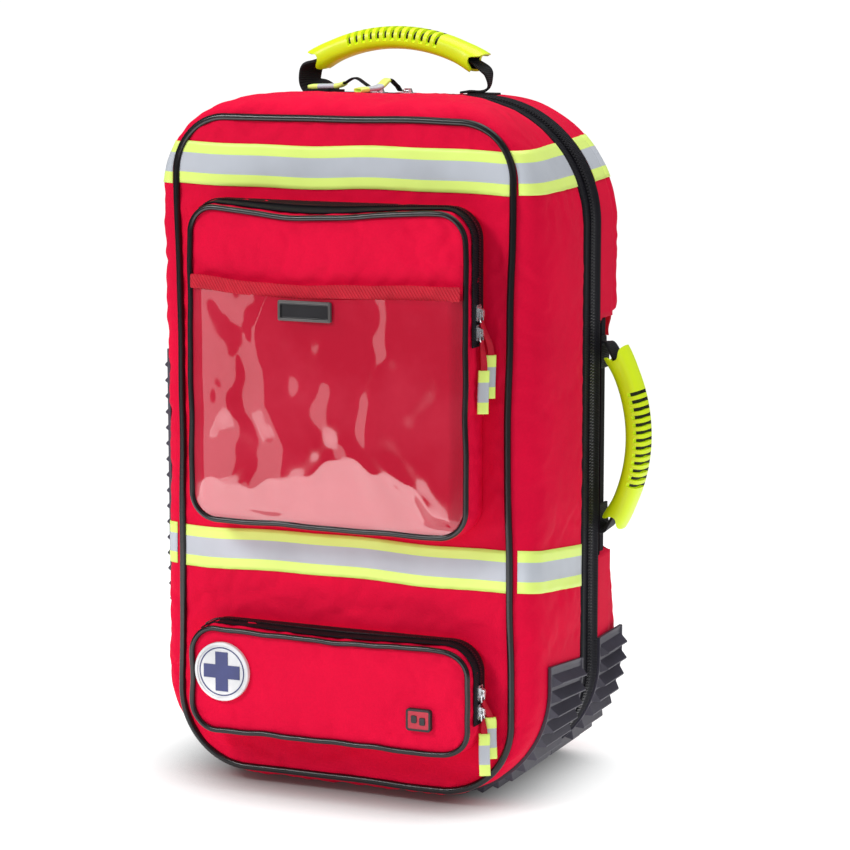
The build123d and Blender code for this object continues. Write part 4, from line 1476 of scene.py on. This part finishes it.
def grip(name, node, body, place, apex, roll):
    """A moulded grip round its webbing: flared, notched ends and a row of slots in its back."""
    arc_middle = apex - GRIP_RADIUS
    half_angle = math.asin(GRIP_CHORD / 2 / GRIP_RADIUS)
    half_run = half_angle * GRIP_RADIUS
    stations = list(np.linspace(-half_run, half_run, 60))
    slots = []
    for k in range(GRIP_SLOTS):
        middle = (k - (GRIP_SLOTS - 1) / 2) * SLOT_PITCH
        slots.append((middle - SLOT_WIDTH / 2, middle + SLOT_WIDTH / 2))
        stations += [middle - SLOT_WIDTH / 2 - 0.00025, middle - SLOT_WIDTH / 2]
        stations += [middle + SLOT_WIDTH / 2, middle + SLOT_WIDTH / 2 + 0.00025]
    stations = sorted(stations)
    thin = [stations[0]]
    for s in stations[1:]:
        if s - thin[-1] > 0.0002:
            thin.append(s)
    stations = thin
    sides = 48
    points, faces, dark = [], [], []

    def slot_angle(turn):
        away = turn - math.radians(roll)
        return abs(math.degrees(math.atan2(math.sin(away), math.cos(away))))

    def put(s, across, high, out=0.0):
        angle = (s + out) / GRIP_RADIUS
        radius = GRIP_RADIUS + high
        points.append(place(radius * math.sin(angle), arc_middle + radius * math.cos(angle), across))

    def section(s, shrink=1.0, out=0.0):
        flare = smooth(abs(s), half_run * 0.70, half_run)
        wide = GRIP_HALF_WIDE * (1 + 0.07 * flare) * shrink
        thick = GRIP_HALF_THICK * (1 + 0.10 * flare) * shrink
        end = smooth(abs(s), half_run * 0.80, half_run)
        for k in range(sides):
            turn = 2 * math.pi * k / sides
            across = math.copysign(abs(math.sin(turn)) ** 0.80, math.sin(turn)) * wide
            high = math.copysign(abs(math.cos(turn)) ** 0.72, math.cos(turn)) * thick
            top = smooth(math.cos(turn), 0.1, 1.0) * (1 - 0.5 * abs(across) / wide)
            waist = bell(math.cos(turn), 0.05, 0.42)
            under = smooth(-math.cos(turn), 0.2, 1.0) * (1 - abs(across) / wide)
            shift = (0.0015 * top - 0.0085 * waist - 0.008 * under) * end * math.copysign(1, s)
            sunk = 0.0
            if any(a - 1e-7 <= s <= b + 1e-7 for a, b in slots):
                if slot_angle(turn) < 52:
                    sunk = 0.0038
            scale = 1 - sunk / max(math.hypot(across, high), 1e-6)
            put(s, across * scale, high * scale, shift + out)

    for s in stations:
        section(s)
    for i in range(len(stations) - 1):
        middle = (stations[i] + stations[i + 1]) / 2
        in_slot = any(a < middle < b for a, b in slots)
        for k in range(sides):
            n = (k + 1) % sides
            faces.append((i * sides + k, (i + 1) * sides + k, (i + 1) * sides + n, i * sides + n))
            turn = 2 * math.pi * (k + 0.5) / sides
            dark.append(in_slot and slot_angle(turn) < 52)
    for s, way in ((stations[0], 1), (stations[-1], -1)):
        outer = 0 if way > 0 else (len(stations) - 1) * sides
        start = len(points)
        section(s, 0.80, way * 0.0006)
        inner = len(points)
        section(s, 0.78, way * 0.014)
        for k in range(sides):
            n = (k + 1) % sides
            faces.append((outer + k, outer + n, start + n, start + k) if way > 0 else
                         (outer + n, outer + k, start + k, start + n))
            faces.append((start + k, start + n, inner + n, inner + k) if way > 0 else
                         (start + n, start + k, inner + k, inner + n))
            dark += [False, True]
        faces.append(tuple(range(inner, inner + sides)))
        dark.append(True)
    piece = make_object(name, points, faces)
    piece.data.materials.append(fluorescent)
    piece.data.materials.append(dark_rubber)
    piece.data.polygons.foreach_set("material_index", [int(d) for d in dark])
    sharpen(piece, 42)
    finish_piece(piece, body, "grip_yellow", [node])
    return half_angle, arc_middle


def leg(name, side, half_angle, arc_middle, place, across_way, base, narrow, twist):
    """One end of a handle's webbing: out of the grip, down and round to where it is sewn on."""
    end_a = GRIP_RADIUS * math.sin(half_angle)
    end_h = arc_middle + GRIP_RADIUS * math.cos(half_angle)
    gap = end_h - base
    route = []
    for share in (0.72, 0.86, 0.98):
        angle = half_angle * share
        route.append((GRIP_RADIUS * math.sin(angle), arc_middle + GRIP_RADIUS * math.cos(angle) - 0.0015))
    route += [
        (end_a + 0.0045, end_h - min(0.0050, 0.25 * gap)), (end_a + 0.0085, end_h - min(0.0095, 0.42 * gap)),
        (end_a + 0.0098, base + min(0.0090, 0.40 * gap)), (end_a + 0.0075, base + min(0.0045, 0.22 * gap)),
        (end_a + 0.0010, base + 0.0022),
        (end_a - 0.0100, base + 0.0017), (end_a - 0.0180, base + 0.0016),
    ]
    fine = []
    for (a0, h0), (a1, h1) in zip(route, route[1:]):
        for k in range(5):
            fine.append((a0 + (a1 - a0) * k / 5, h0 + (h1 - h0) * k / 5))
    fine.append(route[-1])
    fine = np.array(fine)
    for _ in range(4):
        fine[1:-1] = (fine[:-2] + 2 * fine[1:-1] + fine[2:]) / 4
    path = [place(side * a, h, 0.0) for a, h in fine]
    share = np.linspace(0, 1, len(fine))
    pinch = bell(share, 0.62, 0.20)
    widths = 1 - narrow * pinch
    across = []
    for k in range(len(fine)):
        twisted = float(smooth(share[k], 0.15, 0.5)) * (1 - float(smooth(share[k], 0.8, 1.0)))
        turn = narrow * 1.1 * pinch[k] + twist * twisted
        step = fine[min(k + 1, len(fine) - 1)] - fine[max(k - 1, 0)]
        step = step / max(np.linalg.norm(step), 1e-9)
        normal = (side * step[1], -step[0])
        origin, tip = np.array(place(0, 0, 0)), np.array(place(normal[0], normal[1], 0))
        lift = tip - origin
        across.append(np.array(across_way) * math.cos(turn) + lift * math.sin(turn))
    return ribbon(name, path, np.array(across), 0.025, 0.0024, webbing, rows=6, widths=widths)


def handles():
    """The two carrying handles, and the patches that their webbing is sewn under."""
    grip_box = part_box("top_grip")
    middle_x = (grip_box[0][0] + grip_box[1][0]) / 2 - TOP_GRIP_SHIFT
    middle_y = (grip_box[0][1] + grip_box[1][1]) / 2
    apex = grip_box[1][2] - GRIP_HALF_THICK + TOP_GRIP_LIFT

    def top_place(a, h, w):
        return (middle_x + a * TOP_GRIP_SCALE, middle_y + w, h)

    side_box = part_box("side_grip")
    middle_z = (side_box[0][2] + side_box[1][2]) / 2
    side_apex = side_box[1][0] - GRIP_HALF_THICK - SIDE_GRIP_IN

    def side_place(a, h, w):
        return (h, middle_y - w, middle_z + a * SIDE_GRIP_SCALE)

    for word, node, body, place, high, across, base, roll in (
        ("top", "top_grip", "top_handle", top_place, apex, (0.0, 1.0, 0.0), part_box("top_anchors")[1][2], -40),
        ("side", "side_grip", "side_handle", side_place, side_apex, (0.0, 1.0, 0.0),
         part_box("side_anchors")[1][0], 32),
    ):
        half_angle, arc_middle = grip(f"{word}_moulded_grip", node, body, place, high, roll)
        for side, end in ((-1, "first"), (1, "second")):
            narrow = 0.50 if (word, side) == ("top", 1) else 0.12
            twist = {("top", -1): 0.7, ("top", 1): -0.3, ("side", 1): 0.0, ("side", -1): 0.0}[(word, side)]
            strap = leg(f"{word}_strap_{end}", side, half_angle, arc_middle, place, across, base - 0.0010,
                        narrow, twist)
            if word == "top":
                start, finish = (middle_x, middle_y, base + 0.003), (middle_x, middle_y, base + 0.014)
            else:
                start, finish = (base + 0.003, middle_y, middle_z), (base + 0.014, middle_y, middle_z)
            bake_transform(strap)
            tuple(start)
            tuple(finish)
            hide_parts(f"{word}_webbing")
        paint(f"{word}_anchors", webbing)


for anchor in ("top_anchors", "side_anchors"):
    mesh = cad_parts[anchor].data
    if "cloth" not in mesh.uv_layers:
        mesh.uv_layers.new(name="cloth")
handles()

# ------------------------------------------------------------------ zip pulls


def wire_link(name, corners, radius):
    """A bent wire loop through four corners."""
    corners = np.array(corners, float)
    path = []
    for k in range(4):
        a, b, c = corners[k - 1], corners[k], corners[(k + 1) % 4]
        for t in np.linspace(0, 1, 5):
            start, finish = b + (a - b) * 0.28, b + (c - b) * 0.28
            path.append((1 - t) ** 2 * start + 2 * t * (1 - t) * b + t * t * finish)
    up = np.cross(corners[1] - corners[0], corners[2] - corners[1])
    return tube(name, path, radius, 8, up=tuple(up))


def pull(node, body, pin, route, across, outward, material, slot, sleeve=0.040, sleeve_width=0.0105,
         twist=0.0):
    """A zip pull: a wire link, a doubled tape and a reflective sleeve at its end."""
    pin, across, outward = np.array(pin, float), np.array(across, float), np.array(outward, float)
    route = np.array(route, float)
    heading = route[1] - route[0]
    heading /= np.linalg.norm(heading)
    near, far = pin - heading * 0.0006, pin + heading * 0.0084
    half = across * 0.0034
    link = wire_link(f"{node}_link", [near - half, near + half, far + half, far - half], 0.00085)
    link.data.materials.append(chrome)
    finish_piece(link, body, "slider_metal")
    steps = np.linalg.norm(np.diff(route, axis=0), axis=1)
    run = np.concatenate([[0], np.cumsum(steps)])

    def along(s):
        return np.array([np.interp(s, run, route[:, c]) for c in range(3)])

    tape_path = np.array([along(s) for s in np.linspace(0.0070, run[-1] - sleeve + 0.004, 26)])
    turns = twist * smooth(np.linspace(0, 1, len(tape_path)), 0.05, 0.8)
    ways = across * np.cos(turns)[:, None] + outward * np.sin(turns)[:, None]
    tape = ribbon(f"{node}_tape", tape_path, ways, 0.0062, 0.0020, material, rows=3)
    finish_piece(tape, body, slot, [node])
    stations = np.linspace(run[-1] - sleeve, run[-1], 22)
    grid, uv = [], []
    sides = 20
    flat_way = across * math.cos(twist) + outward * math.sin(twist)
    thick_way = outward * math.cos(twist) - across * math.sin(twist)
    for s in stations:
        centre = along(s)
        end = min(s - stations[0], stations[-1] - s)
        puffed = 0.0014 + 0.0005 * float(smooth(end, 0.0, 0.004))
        for k in range(sides + 1):
            turn = 2 * math.pi * k / sides
            wide = math.copysign(abs(math.cos(turn)) ** 0.55, math.cos(turn)) * sleeve_width / 2
            high = math.copysign(abs(math.sin(turn)) ** 0.7, math.sin(turn)) * puffed
            grid.append(centre + flat_way * wide + thick_way * high)
            uv.append((k / sides * 0.02, (s - stations[0]) / sleeve))
    grid = np.array(grid).reshape(len(stations), sides + 1, 3)
    uv = np.array(uv).reshape(len(stations), sides + 1, 2)
    cover = sheet_grid(f"{node}_sleeve", grid, uv)
    cover.data.materials.append(reflective)
    thicken(cover, 0.0006, -1.0)
    finish_piece(cover, body, slot)


PULL_SHORTER = {
    ("upper_pocket", "high"): 0.004, ("upper_pocket", "low"): 0.009,
    ("lower_pocket", "high"): 0.009, ("lower_pocket", "low"): 0.013,
}


def pocket_pulls():
    """The two pulls of each pocket: red tape hanging beside the gusset."""
    for word, hang in (("upper_pocket", 0.0), ("lower_pocket", 0.002)):
        for place in ("high", "low"):
            node = f"{word}_pull_{place}"
            low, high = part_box(node)
            slider_low, slider_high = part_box(f"{word}_slider_{place}")
            x = (low[0] + high[0]) / 2
            pin_z = (slider_low[2] + slider_high[2]) / 2
            pin_y = (slider_low[1] + slider_high[1]) / 2
            end_y = high[1] - 0.0043 if place == "high" else low[1] + 0.0052
            end_z = low[2] + PULL_SHORTER[word, place]
            route = []
            for t in np.linspace(0, 1, 24):
                z = pin_z - t * (pin_z - end_z)
                y = pin_y + (end_y - pin_y) * float(smooth(t, 0.05, 0.5))
                out = (0.0052 if place == "high" else 0.0026) * float(smooth(t, 0.08, 0.45))
                route.append((x + out + 0.0006 * math.sin(5 * t + hang * 900), y, z))
            twist = 0.95 if place == "high" else 1.05
            pull(node, node, (x, pin_y, pin_z), route, (0.0, 1.0, 0.0), (1.0, 0.0, 0.0), pull_red,
                 "pull_tape", twist=twist)
            paint(f"{word}_slider_{place}", chrome)


pocket_pulls()


def main_pulls():
    """The main zip's pulls: black tape that rises over its slider and lies down at its end."""
    for word, turn in (("left", 0.0), ("right", math.radians(62))):
        node = f"main_pull_{word}"
        low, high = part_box(node)
        slider_low, slider_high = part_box(f"main_slider_{word}")
        pin = np.array([(slider_low[0] + slider_high[0]) / 2, (slider_low[1] + slider_high[1]) / 2,
                        (low[2] + high[2]) / 2])
        length = 0.074 if word == "left" else 0.060
        link_end = pin + np.array([-0.0084, 0, 0])
        heading = np.array([-math.cos(turn), -math.sin(turn), 0.0])
        route = [pin, link_end]
        for t in np.linspace(0.06, 1, 30):
            rise = 0.0085 * bell(t, 0.26, 0.17) + 0.0010 * math.sin(3.1 * t)
            route.append(link_end + heading * (length - 0.0084) * t + np.array([0, 0, rise + 0.0018]))
        across = np.cross(heading, (0, 0, 1.0))
        pull(node, node, pin, route, across, (0.0, 0.0, 1.0), pull_black, "pull_tape_black", 0.038, 0.0110)
        paint(f"main_slider_{word}", chrome)


main_pulls()

# ------------------------------------------------------------------ back harness


def back_shell(name, node, body, low_z, high_z, r_low, r_high, face_y, edge_y, rear_y, seed, cap, taper=False):
    """A soft cover on the back: a face, a bevelled edge and sides forward to the pack."""
    half = HALF - 0.0045
    outline = shape(-half, half, low_z, high_z, r_low, r_high)
    low_in = 0.0044 if r_low > 0.05 else 0.001
    high_in = 0.0100 if r_high > 0.05 else 0.001
    inner = shape(-half + 0.013, half - 0.013, low_z + low_in, high_z - high_in,
                  max(r_low - 0.012, 0.006), max(r_high - 0.012, 0.006))
    sections = [(inner, face_y)]
    for t in (0.35, 0.7, 1.0):
        sections.append((between(inner, outline, math.sin(t * math.pi / 2)),
                         face_y + (edge_y - face_y) * (1 - math.cos(t * math.pi / 2))))
    rows = 4
    for row in range(1, rows + 1):
        sections.append((outline, edge_y + (rear_y - edge_y) * row / rows))
    tray = Tray(sections, nx=60, nz=round((high_z - low_z) / 0.006), nc=8, facing=1)
    piece = tray.build(name)
    piece.data.materials.append(red_cloth)
    held = np.zeros(len(tray.points))
    held[tray.loops[-1]] = 1
    held[tray.loops[-2]] = 0.6
    puff(piece, held, pressure=0.9, slack=0.015, cap=cap, nudge=0.0008, seed=seed)
    if taper:
        points = mesh_points(piece)
        share = 0.12 + 0.88 * smooth(high_z + 0.006 - points[:, 2], 0.0, 0.085)
        points[:, 1] = rear_y + (points[:, 1] - rear_y) * share
        set_points(piece, points)
    subdivide(piece)
    thicken(piece, 0.0022)
    return finish_piece(piece, body, "red_fabric", [node])


cover_piece = back_shell("harness_flap", "harness_cover", "cover", cover_low[2], cover_high[2] - 0.002, 0.010,
                         REAR_BODY[5], cover_high[1], cover_high[1] - 0.017, cover_low[1], 41, 0.0012)
cover_surface = surface_of(cover_piece)
back_shell("lumbar_pad", "lumbar_housing", "pack", housing_low[2], housing_high[2], BODY_RADII[0], 0.010,
           housing_high[1], housing_high[1] - 0.014, housing_low[1], 43, 0.0025, taper=True)


FLAP_LOW = 0.446


def flap_place(u, z):
    """Places across the flap's back."""
    flap = shape(-HALF, HALF, FLAP_LOW, cover_high[2] - 0.012, 0.01, REAR_BODY[5] - 0.012)
    return (u * (half_width(flap, z) - 0.0185), cover_high[1], z), (0, 1, 0)


def flap_side_place(side):
    """Places along one side of the flap, round its bevelled edge."""

    def place(u, z):
        share = (u + 1) / 2
        y = cover_low[1] + 0.0006 + (cover_high[1] - cover_low[1] - 0.0006) * share
        lean = float(smooth(share, 0.42, 1.0))
        half = half_width(shape(-HALF, HALF, FLAP_LOW, cover_high[2] - 0.002, 0.01, REAR_BODY[5]), z)
        return (side * (half - 0.0045 - 0.014 * lean), y, z), (side * (1.02 - lean), lean, 0)

    return place


def cover_tape():
    """Tape across the flap's back and round both of its sides."""
    laid_tape("flap_band_back", flap_place, 60, cover_surface, BAND_HEIGHTS[0],
              lambda u: 0.0010 * math.sin(5 * u), "cover", ["cover_band"])
    for side, word in ((-1, "left"), (1, "right")):
        laid_tape(f"flap_band_{word}", flap_side_place(side), 16, cover_surface, BAND_HEIGHTS[0],
                  lambda u: 0.001, "cover", ["cover_band"])


cover_tape()


def flap_tab():
    """The small red loop that lifts the flap."""
    low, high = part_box("cover_tab")
    x, y = (low[0] + high[0]) / 2, (low[1] + high[1]) / 2
    top = high[2] + 0.004
    route = [(x + 0.0012 * math.sin(6 * t), y - 0.0010 + 0.0012 * math.sin(4 * t), top - t * (top - low[2]))
             for t in np.linspace(0, 1, 14)]
    tab = ribbon("flap_tab", route, (1.0, 0.0, 0.0), high[0] - low[0], 0.0022, pull_red, rows=4)
    finish_piece(tab, "cover", "red_fabric", ["cover_tab"])


flap_tab()


def pad(name, node, outline, y_face, y_back, material, body, slot, seed, cap):
    """A soft foam pad: crowned, with rounded edges, closed all round."""
    depth = y_face - y_back
    sections = [(grown(outline, -0.0085), y_face)]
    for t in (0.4, 0.75, 1.0):
        sections.append((grown(outline, -0.0085 * (1 - math.sin(t * math.pi / 2))),
                         y_face - depth * 0.55 * (1 - math.cos(t * math.pi / 2))))
    sections.append((grown(outline, -0.0008), y_back + depth * 0.15))
    sections.append((grown(outline, -0.0030), y_back + 0.0002))
    tray = Tray(sections, nx=max(10, round((outline[1] - outline[0]) / 0.007)),
                nz=max(10, round((outline[3] - outline[2]) / 0.007)), nc=4, facing=1, close=True)
    piece = tray.build(name)
    piece.data.materials.append(material)
    held = np.zeros(len(tray.points))
    held[tray.points[:, 1] < y_back + depth * 0.2] = 1
    puff(piece, held, pressure=1.5, slack=0.01, cap=cap, nudge=0.0003, seed=seed)
    subdivide(piece)
    finish_piece(piece, body, slot, [node])
    return piece


def bent_pad(name, node, body, slot):
    """A shoulder strap: a curved foam strap with a crowned face and bound edges."""
    low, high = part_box(node)
    side = -1 if low[0] < 0 else 1
    rows, columns = 60, 16
    width = 0.062
    start = np.array([side * 0.058, 0.612])
    middle = np.array([side * 0.088, 0.440])
    end = np.array([side * 0.076, 0.266])
    points, faces, uvs = [], [], []
    for j in range(rows + 1):
        t = j / rows
        a, b, c = (1 - t) * (1 - 2 * t), 4 * t * (1 - t), t * (2 * t - 1)
        centre = a * start + b * middle + c * end
        slope = (4 * t - 3) * start + (4 - 8 * t) * middle + (4 * t - 1) * end
        slope /= np.linalg.norm(slope)
        across = np.array([-slope[1], slope[0]])
        end_share = min(t, 1 - t)
        round_off = float(smooth(end_share, 0.0, 0.03)) * 0.12 + 0.88
        for k in range(2 * columns):
            turn = 2 * math.pi * k / (2 * columns)
            wide = math.copysign(abs(math.cos(turn)) ** 0.45, math.cos(turn)) * width / 2 * round_off
            crown = math.copysign(abs(math.sin(turn)) ** 0.5, math.sin(turn))
            quilt = 0.86 + 0.14 * math.sin(37 * t) ** 2
            y = (low[1] + high[1]) / 2 + crown * (high[1] - low[1]) / 2 * quilt
            points.append((centre[0] + across[0] * wide, y, centre[1] + across[1] * wide))
            uvs.append((t * 0.35, k / (2 * columns)))
    n = 2 * columns
    for j in range(rows):
        for k in range(n):
            m = (k + 1) % n
            faces.append((j * n + k, j * n + m, (j + 1) * n + m, (j + 1) * n + k))
    faces.append(tuple(reversed(range(n))))
    faces.append(tuple(range(rows * n, (rows + 1) * n)))
    piece = make_object(name, points, faces, uvs)
    piece.data.materials.append(air_mesh)
    subdivide(piece)
    finish_piece(piece, body, slot, [node])


for side, word in ((-1, "left"), (1, "right")):
    low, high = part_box(f"back_pad_{word}")
    pad(f"back_column_{word}", f"back_pad_{word}", shape(low[0], high[0], low[2], high[2], 0.024, 0.024),
        high[1], low[1], air_mesh, "pack", "air_mesh", 50 + side, 0.0012)
    bent_pad(f"shoulder_pad_{word}", f"shoulder_strap_{word}", "pack", "air_mesh")
    paint(f"ladder_lock_{word}", buckle_plastic)

paint("sternum_clip", buckle_plastic)
frame_sheet_plastic = rubber_material("frame_sheet_plastic", (0.11, 0.11, 0.12), rough=0.5, grain=120.0)
paint("frame_sheet", frame_sheet_plastic)


def flat_strap(name, node, body, vertical):
    """Webbing that stands for one flat CAD strap."""
    low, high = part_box(node)
    y = (low[1] + high[1]) / 2
    if vertical:
        side = -1 if low[0] < 0 else 1
        width = 0.025
        a = (side * 0.076, y, high[2])
        b = (side * 0.0815, y, low[2] + 0.0002)
        across = (1.0, 0.0, 0.0)
    else:
        width = high[2] - low[2]
        a = (low[0], y, (low[2] + high[2]) / 2)
        b = (high[0], y, (low[2] + high[2]) / 2)
        across = (0.0, 0.0, 1.0)
    route = [tuple(np.array(a) + (np.array(b) - np.array(a)) * t) for t in np.linspace(0, 1, 12)]
    strap = ribbon(name, route, across, width, 0.0016, webbing, rows=4)
    finish_piece(strap, body, "black_webbing", [node])


flat_strap("strap_tail_left", "strap_webbing_left", "pack", True)
flat_strap("strap_tail_right", "strap_webbing_right", "pack", True)
flat_strap("chest_strap", "sternum_strap", "pack", False)

# ------------------------------------------------------------------ inside


def divider_pads(node, body, name):
    """Two padded shelves across one half, as one piece each."""
    low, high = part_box(node)
    for level, word in ((0.232, "lower"), (0.440, "upper")):
        half = HALF - 0.0150
        front, back = low[1] + 0.0070, high[1] - 0.0010
        columns, rows = 40, 12
        grid_points, faces, uvs = [], [], []
        for layer in (1, -1):
            for j in range(rows + 1):
                y = front + (back - front) * j / rows
                for i in range(columns + 1):
                    x = -half + 2 * half * i / columns
                    edge = min(min(i, columns - i) / 3, min(j, rows - j) / 2, 1.0)
                    thick = 0.0012 + 0.0027 * math.sqrt(max(0.0, 1 - (1 - edge) ** 2))
                    thick += 0.0003 * math.sin(x * 70) * math.sin(y * 90) * edge
                    grid_points.append((x, y, level + layer * thick))
                    uvs.append((x, y))
        size = (rows + 1) * (columns + 1)
        for j in range(rows):
            for i in range(columns):
                a = j * (columns + 1) + i
                quad = (a, a + 1, a + columns + 2, a + columns + 1)
                faces.append(quad)
                faces.append(tuple(size + k for k in reversed(quad)))
        ring = list(range(columns + 1))
        ring += [j * (columns + 1) + columns for j in range(1, rows + 1)]
        ring += [rows * (columns + 1) + i for i in range(columns - 1, -1, -1)]
        ring += [j * (columns + 1) for j in range(rows - 1, 0, -1)]
        for k in range(len(ring)):
            n = (k + 1) % len(ring)
            faces.append((ring[k], size + ring[k], size + ring[n], ring[n]))
        piece = make_object(f"{name}_{word}", grid_points, faces, uvs)
        piece.data.materials.append(divider_cloth)
        finish_piece(piece, body, "panel_fabric", [node])


divider_pads("lid_dividers", "lid", "lid_shelf")
divider_pads("rear_dividers", "pack", "rear_shelf")


def zip_spine():
    """The cloth hinge strip inside the left side."""
    columns, rows = 14, 50
    grid = np.zeros((rows + 1, columns + 1, 3))
    uv = np.zeros((rows + 1, columns + 1, 2))
    for j in range(rows + 1):
        z = BODY[2] + BODY[4] + 0.02 + (BODY[3] - BODY[5] - BODY[2] - BODY[4] - 0.04) * j / rows
        for i in range(columns + 1):
            y = ZIP_Y - 0.004 + (ZIP_REAR_Y - ZIP_Y + 0.008) * i / columns
            grid[j, i] = (-HALF - 0.0012 - 0.0008 * math.sin(math.pi * i / columns), y, z)
            uv[j, i] = (y, z)
    piece = sheet_grid("hinge_strip", grid, uv)
    piece.data.materials.append(red_cloth)
    thicken(piece, 0.0010, 0.0)
    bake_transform(piece)


zip_spine()

# ------------------------------------------------------------------ stage


FLOOR_REACH = 6.0
FLOOR_FADE = (0.9, 2.0)
SHADE_REACH = 0.11
AMBIENT = 0.42
MIRRORED = 0.12
BACKDROP = 1.05


def build_floor():
    """A plain white floor that glows: its glow is turned down close round the bag as a painted shadow, less so
    at its right, and it is clear far from it.
    """
    mesh = bpy.data.meshes.new("floor")
    far = FLOOR_REACH
    mesh.from_pydata([(-far, -far, 0), (far, -far, 0), (far, far, 0), (-far, far, 0)], [], [(0, 1, 2, 3)])
    floor = bpy.data.objects.new("floor", mesh)
    scene.collection.objects.link(floor)
    m = Nodes("floor_white")
    m.set(Base_Color=(0.36, 0.37, 0.37, 1), Roughness=0.8, Specular_IOR_Level=0.1)
    m.set(Emission_Color=(1, 1, 1, 1))
    # Ambient occlusion turns the floor's glow down near the bag: a painted shadow, added to the real shadows
    # that the lamps cast on its grey base.
    painted_shadow_ao = m.add("ShaderNodeAmbientOcclusion", samples=12)
    painted_shadow_ao.inputs["Distance"].default_value = SHADE_REACH
    glow = m.smooth_range(painted_shadow_ao.outputs["AO"], 0.15, 1.0, 0.0, 0.92)
    # The painted shadow is made lighter towards the right (+x).
    apart = m.add("ShaderNodeSeparateXYZ")
    m.link(m.object_coords(), apart.inputs[0])
    painted_shadow_by_x = m.smooth_range(apart.outputs["X"], 0.09, 0.23, 0.02, 0.66)
    m.link(painted_shadow_by_x.outputs["Result"], glow.inputs["To Min"])
    m.link(glow.outputs["Result"], m.shader.inputs["Emission Strength"])
    length = m.add("ShaderNodeVectorMath", operation="LENGTH")
    m.link(m.object_coords(), length.inputs[0])
    fade = m.smooth_range(length.outputs["Value"], *FLOOR_FADE, 0.0, 1.0)
    clear = m.add("ShaderNodeBsdfTransparent")
    mix = m.add("ShaderNodeMixShader")
    m.link(fade.outputs["Result"], mix.inputs[0])
    m.link(m.shader.outputs[0], mix.inputs[1])
    m.link(clear.outputs[0], mix.inputs[2])
    m.link(mix.outputs[0], m.tree.nodes["Material Output"].inputs["Surface"])
    mesh.materials.append(m.material)


def build_world():
    """White for the camera, a softer grey for the light it gives, and darker still in reflections."""
    world = bpy.data.worlds.new("studio")
    scene.world = world
    world.use_nodes = True
    tree = world.node_tree
    path = tree.nodes.new("ShaderNodeLightPath")

    def grey(strength):
        node = tree.nodes.new("ShaderNodeBackground")
        node.inputs["Color"].default_value = (1, 1, 1, 1)
        node.inputs["Strength"].default_value = strength
        return node.outputs[0]

    def choose(ray, otherwise, then):
        node = tree.nodes.new("ShaderNodeMixShader")
        tree.links.new(path.outputs[ray], node.inputs[0])
        tree.links.new(otherwise, node.inputs[1])
        tree.links.new(then, node.inputs[2])
        return node.outputs[0]

    lit = choose("Is Glossy Ray", grey(AMBIENT), grey(MIRRORED))
    shown = choose("Is Camera Ray", lit, grey(BACKDROP))
    tree.links.new(shown, tree.nodes["World Output"].inputs["Surface"])


def softbox(name, place, aim, size, power):
    """A rectangular studio light."""
    light = bpy.data.lights.new(name, "AREA")
    light.shape = "RECTANGLE"
    light.size, light.size_y = size
    light.energy = power
    lamp = bpy.data.objects.new(name, light)
    lamp.location = place
    lamp.rotation_euler = (Vector(aim) - Vector(place)).to_track_quat("-Z", "Y").to_euler()
    lamp.visible_camera = False
    scene.collection.objects.link(lamp)
    return lamp


build_floor()
build_world()
CENTRE = (0.0, -0.05, 0.35)
softbox("key_light", (-1.35, -2.1, 2.1), CENTRE, (0.8, 0.8), 42)
softbox("top_light", (0.3, 0.4, 2.6), CENTRE, (2.0, 2.0), 32)
softbox("side_light", (2.4, -1.0, 1.5), CENTRE, (1.0, 1.4), 3.5)
for card in (
    softbox("low_card", (-0.33, -0.95, 0.02), (-0.33, -0.95, 1.0), (1.2, 1.0), 7.5),
    softbox("left_card", (-1.00, -1.45, 0.16), (-0.10, -0.19, 0.34), (0.46, 0.34), 0.52),
):
    card.visible_diffuse = False

AZIMUTH = math.radians(23.3)
ELEVATION = math.radians(9.2)
DISTANCE = 2.946
AIM = Vector((0.0378, -0.047, 0.343))
LENS = 129.4


def build_camera():
    """The photograph's view: from the front right and a little above."""
    data = bpy.data.cameras.new("camera")
    data.lens = LENS
    data.sensor_width = 36
    camera = bpy.data.objects.new("camera", data)
    back = Vector((
        math.sin(AZIMUTH) * math.cos(ELEVATION),
        -math.cos(AZIMUTH) * math.cos(ELEVATION),
        math.sin(ELEVATION),
    ))
    camera.location = AIM + back * DISTANCE
    camera.rotation_euler = back.to_track_quat("Z", "Y").to_euler()
    scene.collection.objects.link(camera)
    scene.camera = camera


build_camera()
